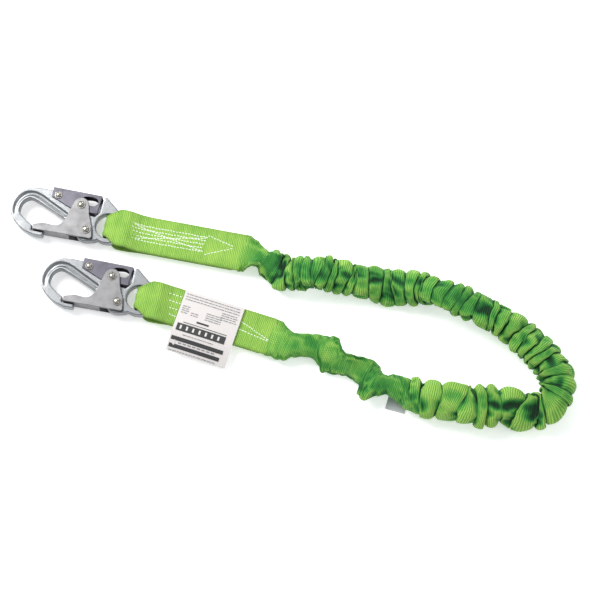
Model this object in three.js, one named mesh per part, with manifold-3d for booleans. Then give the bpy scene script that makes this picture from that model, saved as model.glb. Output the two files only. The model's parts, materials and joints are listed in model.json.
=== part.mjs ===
// A shock absorbing lanyard: two locking snap hooks joined by a gathered sleeve of tubular webbing
// with a stretching core inside. Millimetres, +Z up, lying relaxed on the plane z = 0.
//
// Each hook is modelled flat in its own frame: the origin is the centre of the eye, +X points to the
// webbing, +Y to the lock lever and z = 0 is the middle of the forging. Outlines are [x, y] points.

import * as THREE from "three";
import { mergeVertices } from "three/addons/utils/BufferGeometryUtils.js";
import Module from "manifold-3d";

const wasm = await Module();
wasm.setup();

// ---------------------------------------------------------------- driving dimensions

const GAP = 0.3; // clearance between neighbouring pieces

// webbing
const WEB_WIDTH = 47; // flat tubular webbing
const WEB_THICK = 3.2;
const SEWN_LENGTH = 118; // stitched overlap at each end
const SEWN_HEIGHT = 9.5; // middle of the sewn end above the floor
const SLEEVE_WIDTH = 46; // gathered sleeve, outside
const SLEEVE_HEIGHT = 32;
const SLEEVE_WALL = 4; // the folds counted as one wall
const CORE_WIDTH = 24; // stretching core inside the sleeve
const CORE_HEIGHT = 11;
const TAPER_LENGTH = 60; // over which the sleeve flattens into a sewn end
const FLEX_LENGTH = 8; // bare webbing between the eye loop and the sewn end

// label and tag
const LABEL_LENGTH = 74; // along the webbing
const LABEL_DROP = 30; // past the webbing's edge
const SHEET_THICK = 0.8;
const TAG_LENGTH = 24;
const TAG_WIDTH = 18;

// forged hook body
const BODY_THICK = 10.6;
const BODY_BEVEL = 1.8;
const EYE_RADIUS = 15.4;
const EYE_WALL = 6.1;
const NOSE_REACH = 120.4; // eye centre to the outside of the crown
const CROWN_BAR = 11.3; // bar depth at the crown
const NOSE_STEP = 30.8; // crown to the step that the gate closes on
const LIP_TOP = -23; // the lip under the end of the gate
const LIP_DEPTH = 5.3;

// gate, lever and the rivets that they turn on
const GATE_PIVOT = [-24.6, -10.8];
const STOP_PIN = [-37.3, 18.7];
const LEVER_PIVOT = [-67.3, 26];
const GATE_BOSS = 13.5; // body boss around the gate pivot
const STOP_BOSS = 9.2;
const GATE_GAUGE = 1.8; // sheet thickness
const LEVER_GAUGE = 1.5;
const GATE_TIP_CLEARANCE = 1.6;
const GATE_OPENING = 22; // degrees, tip inwards
const LEVER_PRESS = 9; // degrees, rear end towards the body
const GATE_SHAFT = 3;
const STOP_SHAFT = 2.5;
const LEVER_SHAFT = 2.2;
const GATE_HEAD = 4.6;
const STOP_HEAD = 4.4;
const LEVER_HEAD = 4.2;
const GATE_HEAD_RISE = 2.5;
const LEVER_HEAD_RISE = 2.2;

// torsion springs
const GATE_COIL = { radius: 5.2, wire: 0.7, turns: 3, pitch: 1.8 };
const LEVER_COIL = { radius: 3.1, wire: 0.5, turns: 2, pitch: 1.35 };
const POCKET_CLEARANCE = 0.6;

// how the lanyard lies
const HOOK_ANGLE = -11.6; // degrees, the way from each eye to its webbing
const SEWN_ANGLES = [-11.3, -18.4];
const CENTRE = [-5.689, 3.315]; // middle of the whole lanyard on the floor, set as the origin
const ROUTE = [
  [-65, 72], [-51, 69.2], [-36, 63], [-20, 54], [-3, 47.5], [18, 45.5], [42, 44.8], [65, 41.8],
  [89, 36.4], [112, 31], [136, 27], [160, 22.4], [184, 15.6], [209, 5], [234, -7], [258, -21],
  [279, -37], [295.5, -55], [305, -75], [306.5, -94], [300, -111], [285, -121.5], [265, -124],
  [241, -120], [215, -119.5], [189, -115.5], [161, -111.5], [135, -106], [114, -99],
  [97, -92], [84, -82], [70, -73], [55, -66], [38, -58], [19, -50.5], [-1, -44], [-16, -37.8],
  [-29.3, -33],
];

// ---------------------------------------------------------------- sizes that follow

const EYE_OUTER = EYE_RADIUS + EYE_WALL;
const BODY_HALF = BODY_THICK / 2;
const LEVER_INNER = BODY_HALF + GAP;
const LEVER_OUTER = LEVER_INNER + LEVER_GAUGE;
const GATE_INNER = LEVER_OUTER + GAP;
const GATE_OUTER = GATE_INNER + GATE_GAUGE;
const HOOK_HEIGHT = GATE_OUTER + GAP + GATE_HEAD_RISE;
const NOSE_STEP_X = -NOSE_REACH + NOSE_STEP;
const GATE_TIP_X = NOSE_STEP_X + GATE_TIP_CLEARANCE;
const GATE_BOTTOM = LIP_TOP + GAP + 0.2;
const LOOP_CLEARANCE = 0.9; // webbing over the face of the eye
const LOOP_INNER = BODY_HALF + LOOP_CLEARANCE;
const LOOP_OUTER = LOOP_INNER + WEB_THICK;
const LOOP_TURN_X = EYE_RADIUS - 11.7; // centre of the webbing's turn in the eye
const LOOP_LEAVES_X = EYE_OUTER + 0.5;
const LOOP_END_X = LOOP_LEAVES_X + 13;
const SEWN_THICK = 2 * WEB_THICK;
const ROUTE_END_HEIGHT = SEWN_THICK + 4.6; // the sleeve's mouth over the sewn end

// ---------------------------------------------------------------- finishes

const finish = (color, roughness, metalness) =>
  new THREE.MeshStandardMaterial({ color, roughness, metalness });
const FORGED = finish(0xc3c6c8, 0.38, 1);
const PRESSED = finish(0x8f9197, 0.42, 1);
const RIVET = finish(0xb4b0a4, 0.3, 1);
const SPRING = finish(0x6e7074, 0.35, 1);
const WEBBING = finish(0x6cc24a, 0.85, 0);
const CORE = finish(0xe8e4d8, 0.9, 0);
const LABEL = finish(0xf2f2ef, 0.6, 0);
const TAG = finish(0xb9bdbd, 0.6, 0);

// ---------------------------------------------------------------- drawing helpers

const rad = THREE.MathUtils.degToRad;
const polar = ([x, y], radius, degrees) => [
  x + radius * Math.cos(rad(degrees)),
  y + radius * Math.sin(rad(degrees)),
];
const vectors = (points) => points.map(([x, y]) => new THREE.Vector2(x, y));

function arc(centre, radius, from, to, steps) {
  return Array.from({ length: steps + 1 }, (_, i) =>
    polar(centre, radius, from + ((to - from) * i) / steps),
  );
}

// A smooth curve through the points, as an open list of points.
function smooth(points, steps) {
  return new THREE.SplineCurve(vectors(points)).getPoints(steps).map((p) => [p.x, p.y]);
}

function turned([x, y], [cx, cy], degrees) {
  const c = Math.cos(rad(degrees));
  const s = Math.sin(rad(degrees));
  return [cx + (x - cx) * c - (y - cy) * s, cy + (x - cx) * s + (y - cy) * c];
}

// A flat plate between two heights, its edges bevelled inside the outline.
function plate(points, low, high, bevel = 0, holes = []) {
  const shape = new THREE.Shape(vectors(points));
  shape.holes = holes.map((hole) => new THREE.Path(vectors(hole)));
  const geometry = new THREE.ExtrudeGeometry(shape, {
    depth: high - low - 2 * bevel,
    bevelEnabled: bevel > 0,
    bevelThickness: bevel,
    bevelSize: bevel,
    bevelOffset: -bevel,
    bevelSegments: 1,
  });
  return solid(geometry.translate(0, 0, low + bevel));
}

function solid(geometry) {
  geometry.deleteAttribute("normal");
  geometry.deleteAttribute("uv");
  const merged = mergeVertices(geometry, 1e-4);
  return new wasm.Manifold(
    new wasm.Mesh({
      numProp: 3,
      vertProperties: new Float32Array(merged.attributes.position.array),
      triVerts: new Uint32Array(merged.index.array),
    }),
  );
}

function cylinder(centre, radius, low, high) {
  const geometry = new THREE.CylinderGeometry(radius, radius, high - low, 20);
  geometry.rotateX(Math.PI / 2);
  return solid(geometry.translate(centre[0], centre[1], (low + high) / 2));
}

function sector(centre, radius, from, to, low, high) {
  return plate([centre, ...arc(centre, radius, from, to, 6)], low, high);
}

function piece(name, made, material) {
  const { numProp, vertProperties, triVerts } = made.getMesh();
  const geometry = new THREE.BufferGeometry();
  const buffer = new THREE.InterleavedBuffer(vertProperties, numProp);
  geometry.setAttribute("position", new THREE.InterleavedBufferAttribute(buffer, 3, 0));
  geometry.setIndex(new THREE.BufferAttribute(triVerts, 1));
  const facets = geometry.toNonIndexed();
  facets.computeVertexNormals();
  const mesh = new THREE.Mesh(facets, material);
  mesh.name = name;
  return mesh;
}

// ---------------------------------------------------------------- hook body

function bodyOutline() {
  const crown = (dx, y) => [-NOSE_REACH + dx, y];
  const crownOutside = smooth(
    [
      crown(32, 31.8), crown(19.4, 30), crown(10.4, 24.8), crown(3.8, 16.5), crown(0.6, 7.5),
      crown(0, -0.5), crown(2.6, -8.3), crown(9.5, -16.2), crown(21.8, -24.9),
      [NOSE_STEP_X + 3.6, LIP_TOP - LIP_DEPTH],
    ],
    22,
  );
  const inside = CROWN_BAR; // the flat bearing face at the crown
  const noseInside = smooth(
    [[NOSE_STEP_X, -17], crown(24.9, -13.9), crown(18.9, -10), crown(14.2, -6), crown(inside, -2)],
    8,
  );
  const topInside = smooth(
    [crown(inside, 5), crown(12.8, 10), crown(16.4, 14.2), crown(21.4, 16.6), crown(30.4, 14.2)],
    8,
  );
  return [
    ...arc([0, 0], EYE_OUTER, -115, 52, 16),
    ...arc([-10.4, 32.4], 3, 52, 172, 4),
    polar([0, 0], EYE_OUTER - 1.4, 133),
    polar([0, 0], EYE_OUTER - 1.4, 155),
    [-26, 9], [-30, 10], [-43, 13.5], [-47, 17], [-55, 27], [-62, 31.5], [-76, 31.5],
    ...crownOutside,
    [NOSE_STEP_X + 15, LIP_TOP - LIP_DEPTH],
    [NOSE_STEP_X + 15, LIP_TOP],
    [NOSE_STEP_X, LIP_TOP],
    ...noseInside,
    ...topInside,
    [-52.6, -1.8], [-42, -6.5],
    ...arc(GATE_PIVOT, GATE_BOSS, 183, 285, 9),
    [-13.8, -21.9],
  ];
}

function hookBody() {
  const eye = arc([0, 0], EYE_RADIUS, 0, 345, 23);
  let body = plate(bodyOutline(), -BODY_HALF, BODY_HALF, BODY_BEVEL, [eye]);
  const through = BODY_HALF + 1;
  body = body.subtract(cylinder(GATE_PIVOT, GATE_SHAFT + GAP, -through, through));
  body = body.subtract(cylinder(LEVER_PIVOT, LEVER_SHAFT + GAP, -through, through));

  const gatePocket = coilRoom(GATE_COIL);
  body = body.subtract(cylinder(GATE_PIVOT, gatePocket.radius, -gatePocket.half, gatePocket.half));
  const gateLegTop = GATE_COIL.turns * GATE_COIL.pitch / 2 - 1.2;
  body = body.subtract(sector(GATE_PIVOT, 24, 178, 214, gateLegTop, gatePocket.half));
  body = body.subtract(sector(GATE_PIVOT, 15, 117, 133, -gatePocket.half, -gateLegTop));

  const leverPocket = coilRoom(LEVER_COIL);
  const { half } = leverPocket;
  body = body.subtract(cylinder(LEVER_PIVOT, leverPocket.radius, -half, half));
  body = body.subtract(sector(LEVER_PIVOT, 15, 8, 100, -half, half));
  body = body.subtract(sector(LEVER_PIVOT, 10, 240, 260, -half, half));
  return body;
}

// The pocket that holds a coil with room to wind.
function coilRoom({ radius, wire, turns, pitch }) {
  return {
    radius: radius + wire + POCKET_CLEARANCE,
    half: (turns * pitch) / 2 + wire + POCKET_CLEARANCE / 2,
  };
}

// ---------------------------------------------------------------- gate and lock lever

function gate() {
  const tip = GATE_TIP_X;
  const cheek = [
    [tip, GATE_BOTTOM], [-17.4, -20.9], [-16.2, -15.8], [-18.7, -6], [-25.5, 9.2],
    ...arc(STOP_PIN, STOP_BOSS, 8, 168, 8),
    [-49.8, 7.5], [-52, -2.1], [-54, -6.7], [-57.5, -10.9], [-61.2, -12.6],
    [tip + 12.6, -12.4], [tip + 6, -14.4], [tip, -16.5],
  ];
  const floor = [
    [tip, GATE_BOTTOM], [-44, GATE_BOTTOM + 0.3], [-44, GATE_BOTTOM + 0.3 + GATE_GAUGE],
    [tip + GATE_GAUGE, GATE_BOTTOM + GATE_GAUGE], [tip + GATE_GAUGE, -16.2], [tip, -16.5],
  ];
  const lap = GATE_INNER + GATE_GAUGE / 2;
  let made = plate(floor, -lap, lap);
  for (const side of [-1, 1]) {
    const low = side < 0 ? -GATE_OUTER : GATE_INNER;
    made = made.add(plate(cheek, low, low + GATE_GAUGE));
  }
  const through = GATE_OUTER + 1;
  made = made.subtract(cylinder(GATE_PIVOT, GATE_SHAFT + GAP, -through, through));
  return made.subtract(cylinder(STOP_PIN, STOP_SHAFT + GAP, -through, through));
}

// Where the stop pin has got to, seen from the lever, when the gate is fully open.
function stopPinWhenOpen() {
  const moved = turned(STOP_PIN, GATE_PIVOT, -GATE_OPENING);
  return turned(moved, LEVER_PIVOT, LEVER_PRESS);
}

function lever() {
  const top = 35.4;
  const under = top - LEVER_GAUGE;
  const cheek = [
    [-75.4, top], [-75.2, 22.8], [-48.4, 12.1], [-42, 10.9], [-16.4, 11.4], [-15.1, top],
  ];
  const flange = [[-75.4, under], [-15.2, under], [-15.1, top], [-75.4, top]];
  const window = [
    [-34, 20.8], [-22.5, 20.8], [-19.2, 23.4], [-18.4, 26.6], [-20.4, 29.8], [-25, 31.4],
    [-31, 31.2], [-37, 29.4], [-38.5, 26], [-37, 22.4],
  ];
  const lap = LEVER_INNER + LEVER_GAUGE / 2;
  let made = plate(flange, -lap, lap);
  for (const side of [-1, 1]) {
    const low = side < 0 ? -LEVER_OUTER : LEVER_INNER;
    made = made.add(plate(cheek, low, low + LEVER_GAUGE));
  }
  const through = LEVER_OUTER + 1;
  made = made.subtract(plate(window, -through, through));

  // the slot that the stop pin runs up as the lever is pressed
  const room = STOP_SHAFT + GAP + 0.1;
  const open = stopPinWhenOpen();
  const heading = THREE.MathUtils.radToDeg(Math.atan2(open[1] - STOP_PIN[1], open[0] - STOP_PIN[0]));
  const slot = [
    ...arc(STOP_PIN, room, heading + 90, heading + 270, 8),
    ...arc(open, room, heading - 90, heading + 90, 8),
  ];
  made = made.subtract(plate(slot, -through, through));
  return made.subtract(cylinder(LEVER_PIVOT, LEVER_SHAFT + GAP, -through, through));
}

// ---------------------------------------------------------------- rivets and springs

// A shaft through the hook with a domed head on each face.
function rivet(centre, shaft, head, headBase, rise) {
  const dome = arc([0, 0], 1, 0, 90, 4).map(([x, y]) => [head * x, headBase + rise * y]);
  dome[dome.length - 1][0] = 0;
  const upper = [[shaft, headBase], ...dome];
  const lower = upper.map(([r, h]) => [r, -h]).reverse();
  const geometry = new THREE.LatheGeometry(vectors([...lower, ...upper]), 14);
  geometry.rotateX(Math.PI / 2);
  return solid(geometry.translate(centre[0], centre[1], 0));
}

// A torsion coil around a rivet; each leg leaves radially: [degrees, reach].
function torsionSpring(centre, { radius, wire, turns, pitch }, [legA, reachA], [legB, reachB]) {
  const swept = 360 * turns + legB - legA;
  const steps = Math.round(swept / 36);
  const height = turns * pitch;
  const point = (r, degrees, z) => {
    const [x, y] = polar(centre, r, degrees);
    return new THREE.Vector3(x, y, z);
  };
  const points = [point(reachA, legA, -height / 2), point(radius + 1, legA, -height / 2)];
  for (let i = 0; i <= steps; i += 1) {
    const t = i / steps;
    points.push(point(radius, legA + 8 + (swept - 16) * t, height * (t - 0.5)));
  }
  points.push(point(radius + 1, legB, height / 2), point(reachB, legB, height / 2));
  const path = new THREE.CatmullRomCurve3(points, false, "centripetal");
  const section = new THREE.Shape(vectors(arc([0, 0], wire, 0, 300, 5)));
  const geometry = new THREE.ExtrudeGeometry(section, {
    steps: Math.round(1.2 * points.length),
    extrudePath: path,
    bevelEnabled: false,
  });
  return solid(geometry);
}

// ---------------------------------------------------------------- webbing

// The webbing's turn through the eye, narrowed where it passes the hole.
function eyeLoop() {
  const drop = SEWN_HEIGHT - HOOK_HEIGHT;
  const side = [
    [LOOP_END_X, drop + GAP / 2 + WEB_THICK],
    [LOOP_LEAVES_X + 0.9, LOOP_OUTER],
    ...arc([LOOP_TURN_X, 0], LOOP_OUTER, 90, 270, 10),
    [LOOP_LEAVES_X + 0.9, -LOOP_OUTER],
    [LOOP_END_X, drop - GAP / 2 - WEB_THICK],
    [LOOP_END_X, drop - GAP / 2],
    [LOOP_LEAVES_X, -LOOP_INNER],
    ...arc([LOOP_TURN_X, 0], LOOP_INNER, 270, 90, 8),
    [LOOP_LEAVES_X, LOOP_INNER],
    [LOOP_END_X, drop + GAP / 2],
  ];
  const shape = new THREE.Shape(vectors(side));
  const across = new THREE.ExtrudeGeometry(shape, { depth: WEB_WIDTH, bevelEnabled: false });
  across.rotateX(Math.PI / 2);
  across.translate(0, WEB_WIDTH / 2, 0);

  const front = LOOP_TURN_X - LOOP_OUTER;
  const inHole = Math.sqrt(EYE_RADIUS ** 2 - front ** 2) - 2 * GAP;
  const wide = WEB_WIDTH / 2;
  const half = [[front - 2, inHole], [LOOP_TURN_X - 2, inHole], [LOOP_TURN_X + 8, wide], [60, wide]];
  const lower = half.map(([x, y]) => [x, -y]);
  const plan = plate([...lower, ...half.reverse()], -LOOP_OUTER - 1, LOOP_OUTER + 1);
  return solid(across).intersect(plan);
}

// The stitched overlap: its tail is at the origin and it runs along -X.
function sewnEnd() {
  const half = WEB_WIDTH / 2;
  const corner = 3;
  const outline = [
    [0, -half + corner], [0, half - corner], [-corner, half], [-SEWN_LENGTH, half],
    [-SEWN_LENGTH, -half], [-corner, -half],
  ];
  return plate(outline, SEWN_HEIGHT - SEWN_THICK / 2, SEWN_HEIGHT + SEWN_THICK / 2);
}

const route = new THREE.CatmullRomCurve3(
  ROUTE.map(([x, y]) => new THREE.Vector3(x, y, 0)),
  false,
  "centripetal",
);

// A section carried along the route. size(away) gives its half width, half height and the height of
// its middle at a distance from the nearer end; a point of the unit section is scaled by them.
function alongRoute(section, from, to, steps, size) {
  const length = route.getLength();
  const geometry = new THREE.ExtrudeGeometry(section, { depth: 1, steps, bevelEnabled: false });
  const position = geometry.getAttribute("position");
  for (let i = 0; i < position.count; i += 1) {
    const s = from + (to - from) * position.getZ(i);
    const u = THREE.MathUtils.clamp(s / length, 0, 1);
    const middle = route.getPointAt(u);
    const ahead = route.getTangentAt(u);
    const [x, y] = [position.getX(i), position.getY(i)];
    const { across, up, height } = size(Math.min(s, length - s), Math.hypot(x, y));
    position.setXYZ(
      i,
      middle.x - ahead.y * x * across,
      middle.y + ahead.x * x * across,
      height + y * up,
    );
  }
  return solid(geometry);
}

const swell = (away) => THREE.MathUtils.smoothstep(away, 0, TAPER_LENGTH);
const middleHeight = (t) => THREE.MathUtils.lerp(SEWN_HEIGHT, SLEEVE_HEIGHT / 2, t);

function sleeve() {
  const ring = new THREE.Shape(vectors(arc([0, 0], 1, 0, 330, 11)));
  ring.holes = [new THREE.Path(vectors(arc([0, 0], 0.5, 0, 324, 9)))];
  return alongRoute(ring, GAP, route.getLength() - GAP, 64, (away, radius) => {
    const t = swell(away);
    const across = THREE.MathUtils.lerp(WEB_WIDTH, SLEEVE_WIDTH, t) / 2;
    const up = THREE.MathUtils.lerp(ROUTE_END_HEIGHT, SLEEVE_HEIGHT, t) / 2;
    const height = middleHeight(t);
    if (radius > 0.9) return { across, up, height };
    const wall = THREE.MathUtils.lerp(WEB_THICK, SLEEVE_WALL, t);
    return { across: (across - wall) / radius, up: (up - wall) / radius, height };
  });
}

function stretchCore() {
  const bar = new THREE.Shape(vectors(arc([0, 0], 1, 22.5, 337.5, 7)));
  return alongRoute(bar, GAP, route.getLength() - GAP, 60, (away) => {
    const t = swell(away);
    const bore = THREE.MathUtils.lerp(ROUTE_END_HEIGHT - 2 * WEB_THICK, CORE_HEIGHT + 1.4, t);
    return { across: CORE_WIDTH / 2, up: bore / 2 - 2 * GAP, height: middleHeight(t) };
  });
}

// ---------------------------------------------------------------- label and tag

// One sheet of the label over sewn end, drooping past its lower edge. Same frame as the sewn end.
function labelSheet(lift, inset) {
  const top = SEWN_HEIGHT + SEWN_THICK / 2 + lift;
  const edge = -WEB_WIDTH / 2 - 2;
  const end = edge - LABEL_DROP + inset;
  const fallen = top - 8;
  const side = [
    [WEB_WIDTH / 2 - 1 - inset, top], [edge, top], [end, fallen],
    [end, fallen + SHEET_THICK], [edge, top + SHEET_THICK],
    [WEB_WIDTH / 2 - 1 - inset, top + SHEET_THICK],
  ];
  const length = LABEL_LENGTH - 2 * inset;
  const geometry = new THREE.ExtrudeGeometry(new THREE.Shape(vectors(side)), {
    depth: length,
    bevelEnabled: false,
  });
  geometry.rotateX(Math.PI / 2);
  geometry.rotateZ(Math.PI / 2);
  return solid(geometry.translate(-SEWN_LENGTH + 6 + inset, 0, 0));
}

// The sewn-in tag lies flat on the floor, tucked under the flank of the sleeve.
function inspectionTag() {
  const outline = [
    [0, 0], [TAG_LENGTH, 0], [TAG_LENGTH, TAG_WIDTH], [0, TAG_WIDTH],
  ];
  return plate(outline, GAP, GAP + SHEET_THICK);
}

// ---------------------------------------------------------------- assembly

const lanyard = new THREE.Group();
lanyard.position.set(-CENTRE[0], -CENTRE[1], 0);

function direction(degrees) {
  return new THREE.Vector3(Math.cos(rad(degrees)), Math.sin(rad(degrees)), 0);
}

function addHook(end, eye) {
  const hook = new THREE.Group();
  hook.position.set(eye.x, eye.y, HOOK_HEIGHT);
  hook.rotation.z = rad(HOOK_ANGLE);
  const legToFloor = [207, 19.2];
  const legToFlange = [30, 13.6];
  const gateHead = GATE_OUTER + GAP;
  const leverHead = LEVER_OUTER + GAP;
  hook.add(
    piece(`${end}_hook_body`, hookBody(), FORGED),
    piece(`${end}_gate`, gate(), PRESSED),
    piece(`${end}_lock_lever`, lever(), PRESSED),
    piece(
      `${end}_gate_pivot_rivet`,
      rivet(GATE_PIVOT, GATE_SHAFT, GATE_HEAD, gateHead, GATE_HEAD_RISE),
      RIVET,
    ),
    piece(
      `${end}_gate_stop_rivet`,
      rivet(STOP_PIN, STOP_SHAFT, STOP_HEAD, gateHead, GATE_HEAD_RISE),
      RIVET,
    ),
    piece(
      `${end}_lever_rivet`,
      rivet(LEVER_PIVOT, LEVER_SHAFT, LEVER_HEAD, leverHead, LEVER_HEAD_RISE),
      RIVET,
    ),
    piece(
      `${end}_gate_spring`,
      torsionSpring(GATE_PIVOT, GATE_COIL, [125, 13.5], legToFloor),
      SPRING,
    ),
    piece(
      `${end}_lever_spring`,
      torsionSpring(LEVER_PIVOT, LEVER_COIL, [250, 9], [legToFlange[0] + 360, legToFlange[1]]),
      SPRING,
    ),
    piece(`${end}_eye_loop`, eyeLoop(), WEBBING),
  );
  lanyard.add(hook);
}

function addEnd(end, tail, angle) {
  const along = direction(angle);
  const group = new THREE.Group();
  group.position.copy(tail).addScaledVector(along, -GAP);
  group.rotation.z = rad(angle);
  group.add(piece(`${end}_sewn_end`, sewnEnd(), WEBBING));
  if (end === "harness") {
    group.add(piece("label_page", labelSheet(GAP + 0.2, 2), LABEL));
    group.add(piece("label_cover", labelSheet(2 * GAP + 0.4 + SHEET_THICK, 0), LABEL));
  }
  lanyard.add(group);

  const hinge = group.position.clone().addScaledVector(along, -SEWN_LENGTH - FLEX_LENGTH / 2);
  const toHook = LOOP_END_X + FLEX_LENGTH / 2;
  addHook(end, hinge.addScaledVector(direction(HOOK_ANGLE), -toHook));
}

addEnd("anchor", route.getPointAt(0), SEWN_ANGLES[0]);
addEnd("harness", route.getPointAt(1), SEWN_ANGLES[1]);
lanyard.add(piece("gathered_sleeve", sleeve(), WEBBING));
lanyard.add(piece("stretch_core", stretchCore(), CORE));

const tag = new THREE.Group();
tag.position.set(110, -137, 0);
tag.rotation.z = rad(12);
tag.add(piece("inspection_tag", inspectionTag(), TAG));
lanyard.add(tag);

export default lanyard;
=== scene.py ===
"""Shock absorbing lanyard: two locking snap hooks, gathered tubular webbing, stitching and label.

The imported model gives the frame: the eye of each hook, the hinges and the boxes of the nodes.
Hook pieces are modelled once in the hook's own frame (origin in the eye, +X to the webbing, +Y to
the lock lever, z = 0 in the middle of the forging) and are then placed at both ends.
"""

import json
import math
import random

import bpy
import numpy as np
from bpy.props import FloatProperty, FloatVectorProperty, IntProperty, PointerProperty
from mathutils import Matrix, Vector, noise


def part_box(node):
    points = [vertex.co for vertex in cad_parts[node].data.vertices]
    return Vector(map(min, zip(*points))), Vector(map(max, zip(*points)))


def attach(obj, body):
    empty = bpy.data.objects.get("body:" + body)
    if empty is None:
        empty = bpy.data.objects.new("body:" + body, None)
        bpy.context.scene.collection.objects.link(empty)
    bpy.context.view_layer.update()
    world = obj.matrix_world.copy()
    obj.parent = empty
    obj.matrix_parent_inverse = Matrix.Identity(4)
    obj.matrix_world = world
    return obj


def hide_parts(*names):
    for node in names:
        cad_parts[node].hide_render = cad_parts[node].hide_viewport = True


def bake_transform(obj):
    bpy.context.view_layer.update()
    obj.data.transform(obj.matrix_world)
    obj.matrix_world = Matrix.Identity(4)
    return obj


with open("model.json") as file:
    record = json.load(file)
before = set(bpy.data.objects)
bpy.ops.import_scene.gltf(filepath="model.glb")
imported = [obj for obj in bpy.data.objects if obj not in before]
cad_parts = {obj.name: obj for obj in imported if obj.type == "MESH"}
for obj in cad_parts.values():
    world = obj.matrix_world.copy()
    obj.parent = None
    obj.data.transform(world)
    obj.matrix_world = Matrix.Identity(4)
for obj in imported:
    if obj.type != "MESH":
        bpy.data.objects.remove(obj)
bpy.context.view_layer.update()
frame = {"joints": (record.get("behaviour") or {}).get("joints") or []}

bl_info = {
    "name": "Shock Absorbing Lanyard",
    "version": (1, 0, 0),
    "blender": (4, 5, 0),
    "location": "View3D > Sidebar > Lanyard",
    "description": "Builds a webbing lanyard with two locking snap hooks",
    "category": "Object",
}

MM = 0.001
ENDS = ("anchor", "harness")
JOINTS = {joint["name"]: joint for joint in frame["joints"]}


# ------------------------------------------------------------------ sizes and colours


def length(name, description, default):
    return FloatProperty(name=name, description=description, default=default, unit="LENGTH")


def colour(name, description, default):
    return FloatVectorProperty(
        name=name, description=description, default=default, size=3, subtype="COLOR"
    )


class LanyardSizes(bpy.types.PropertyGroup):
    """Sizes of the hooks and the webbing."""

    body_half: length("Body half thickness", "Half of the forging", 0.0053)
    eye_radius: length("Eye radius", "Inside of the eye", 0.0154)
    lever_gauge: length("Lever sheet", "Sheet thickness of the lock lever", 0.0015)
    gate_gauge: length("Gate sheet", "Sheet thickness of the gate", 0.0018)
    gap: length("Gap", "Clearance between pressed parts", 0.0003)
    web_width: length("Webbing width", "Flat width of the tubular webbing", 0.047)
    web_thick: length("Webbing thickness", "Pressed flat", 0.0032)
    stitch_length: length("Stitch", "Length of one stitch", 0.0036)
    sleeve_seed: IntProperty(name="Fold seed", description="Seed of the folds", default=11)


class LanyardColours(bpy.types.PropertyGroup):
    """Colours of the finishes."""

    # The deep colour darkens the ground between the ribs: painted shade in the grooves.
    web_light: colour("Webbing, light yarn", "Raised yarn of the ribs", (0.42, 0.67, 0.115))
    web_deep: colour("Webbing, deep", "Ground between the ribs", (0.10, 0.36, 0.04))
    forged: colour("Forged zinc", "Plating on the forging", (0.25, 0.257, 0.262))
    pressed: colour("Pressed zinc", "Plating on the lever", (0.13, 0.125, 0.145))
    gate: colour("Gate zinc", "Plating on the gate", (0.23, 0.226, 0.226))
    rivet: colour("Rivet", "Rivet heads", (0.36, 0.345, 0.31))
    thread: colour("Thread", "Stitching thread", (0.85, 0.90, 0.78))
    label: colour("Label", "Label sheet", (0.66, 0.62, 0.60))
    ink: colour("Ink", "Print on the label", (0.03, 0.03, 0.03))
    floor: colour("Floor", "Studio floor", (0.92, 0.92, 0.92))


def sizes():
    return bpy.context.scene.lanyard_sizes


def colours():
    return bpy.context.scene.lanyard_colours


# ------------------------------------------------------------------ places in the frame


def eye(end):
    return Vector(JOINTS[f"{end}_hook_swing"]["pos_m"])


def flex_point(end):
    return Vector(JOINTS[f"{end}_web_flex"]["pos_m"])


def hook_across(end):
    return Vector(JOINTS[f"{end}_web_flex"]["axis"])


def hook_along(end):
    across = hook_across(end)
    return Vector((across.y, -across.x, 0))


def hook_matrix(end):
    """From the hook's own frame to the lanyard's."""
    x, y, place = hook_along(end), hook_across(end), eye(end)
    return Matrix(
        ((x.x, y.x, 0, place.x), (x.y, y.y, 0, place.y), (0, 0, 1, place.z), (0, 0, 0, 1))
    )


# ------------------------------------------------------------------ modelling helpers


def deselect():
    bpy.ops.object.select_all(action="DESELECT")


def take(obj):
    deselect()
    obj.select_set(True)
    bpy.context.view_layer.objects.active = obj
    return obj


def named(name):
    obj = bpy.context.object
    obj.name = name
    obj.data.name = name
    return obj


def modify(obj, kind, **values):
    """Adds a modifier and applies it."""
    take(obj)
    modifier = obj.modifiers.new(kind.title(), kind)
    for key, value in values.items():
        setattr(modifier, key, value)
    bpy.ops.object.modifier_apply(modifier=modifier.name)
    return obj


def edit(obj, *steps):
    """Runs steps in edit mode with everything selected."""
    take(obj)
    bpy.ops.object.mode_set(mode="EDIT")
    bpy.ops.mesh.select_mode(type="VERT")
    bpy.ops.mesh.select_all(action="SELECT")
    for step in steps:
        step()
    bpy.ops.object.mode_set(mode="OBJECT")
    return obj


def normals_out():
    bpy.ops.mesh.remove_doubles(threshold=1e-7)
    bpy.ops.mesh.normals_make_consistent(inside=False)


def set_points(obj, points):
    obj.data.vertices.foreach_set("co", np.asarray(points, np.float32).ravel())
    obj.data.update()


def get_points(obj):
    points = np.empty(len(obj.data.vertices) * 3, np.float32)
    obj.data.vertices.foreach_get("co", points)
    return points.reshape(-1, 3).astype(float)


def get_uv(obj):
    values = np.empty(len(obj.data.loops) * 2, np.float32)
    obj.data.uv_layers.active.data.foreach_get("uv", values)
    return values.reshape(-1, 2)


def set_uv(obj, values):
    flat = np.ascontiguousarray(values, np.float32).ravel()
    obj.data.uv_layers.active.data.foreach_set("uv", flat)


def pick(obj, kind, test):
    """In edit mode, selects only the edges or faces that pass a test."""
    bpy.ops.mesh.select_mode(type=kind)
    bpy.ops.mesh.select_all(action="DESELECT")
    bpy.ops.object.mode_set(mode="OBJECT")
    for item in obj.data.edges if kind == "EDGE" else obj.data.polygons:
        item.select = test(item)
    bpy.ops.object.mode_set(mode="EDIT")


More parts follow.
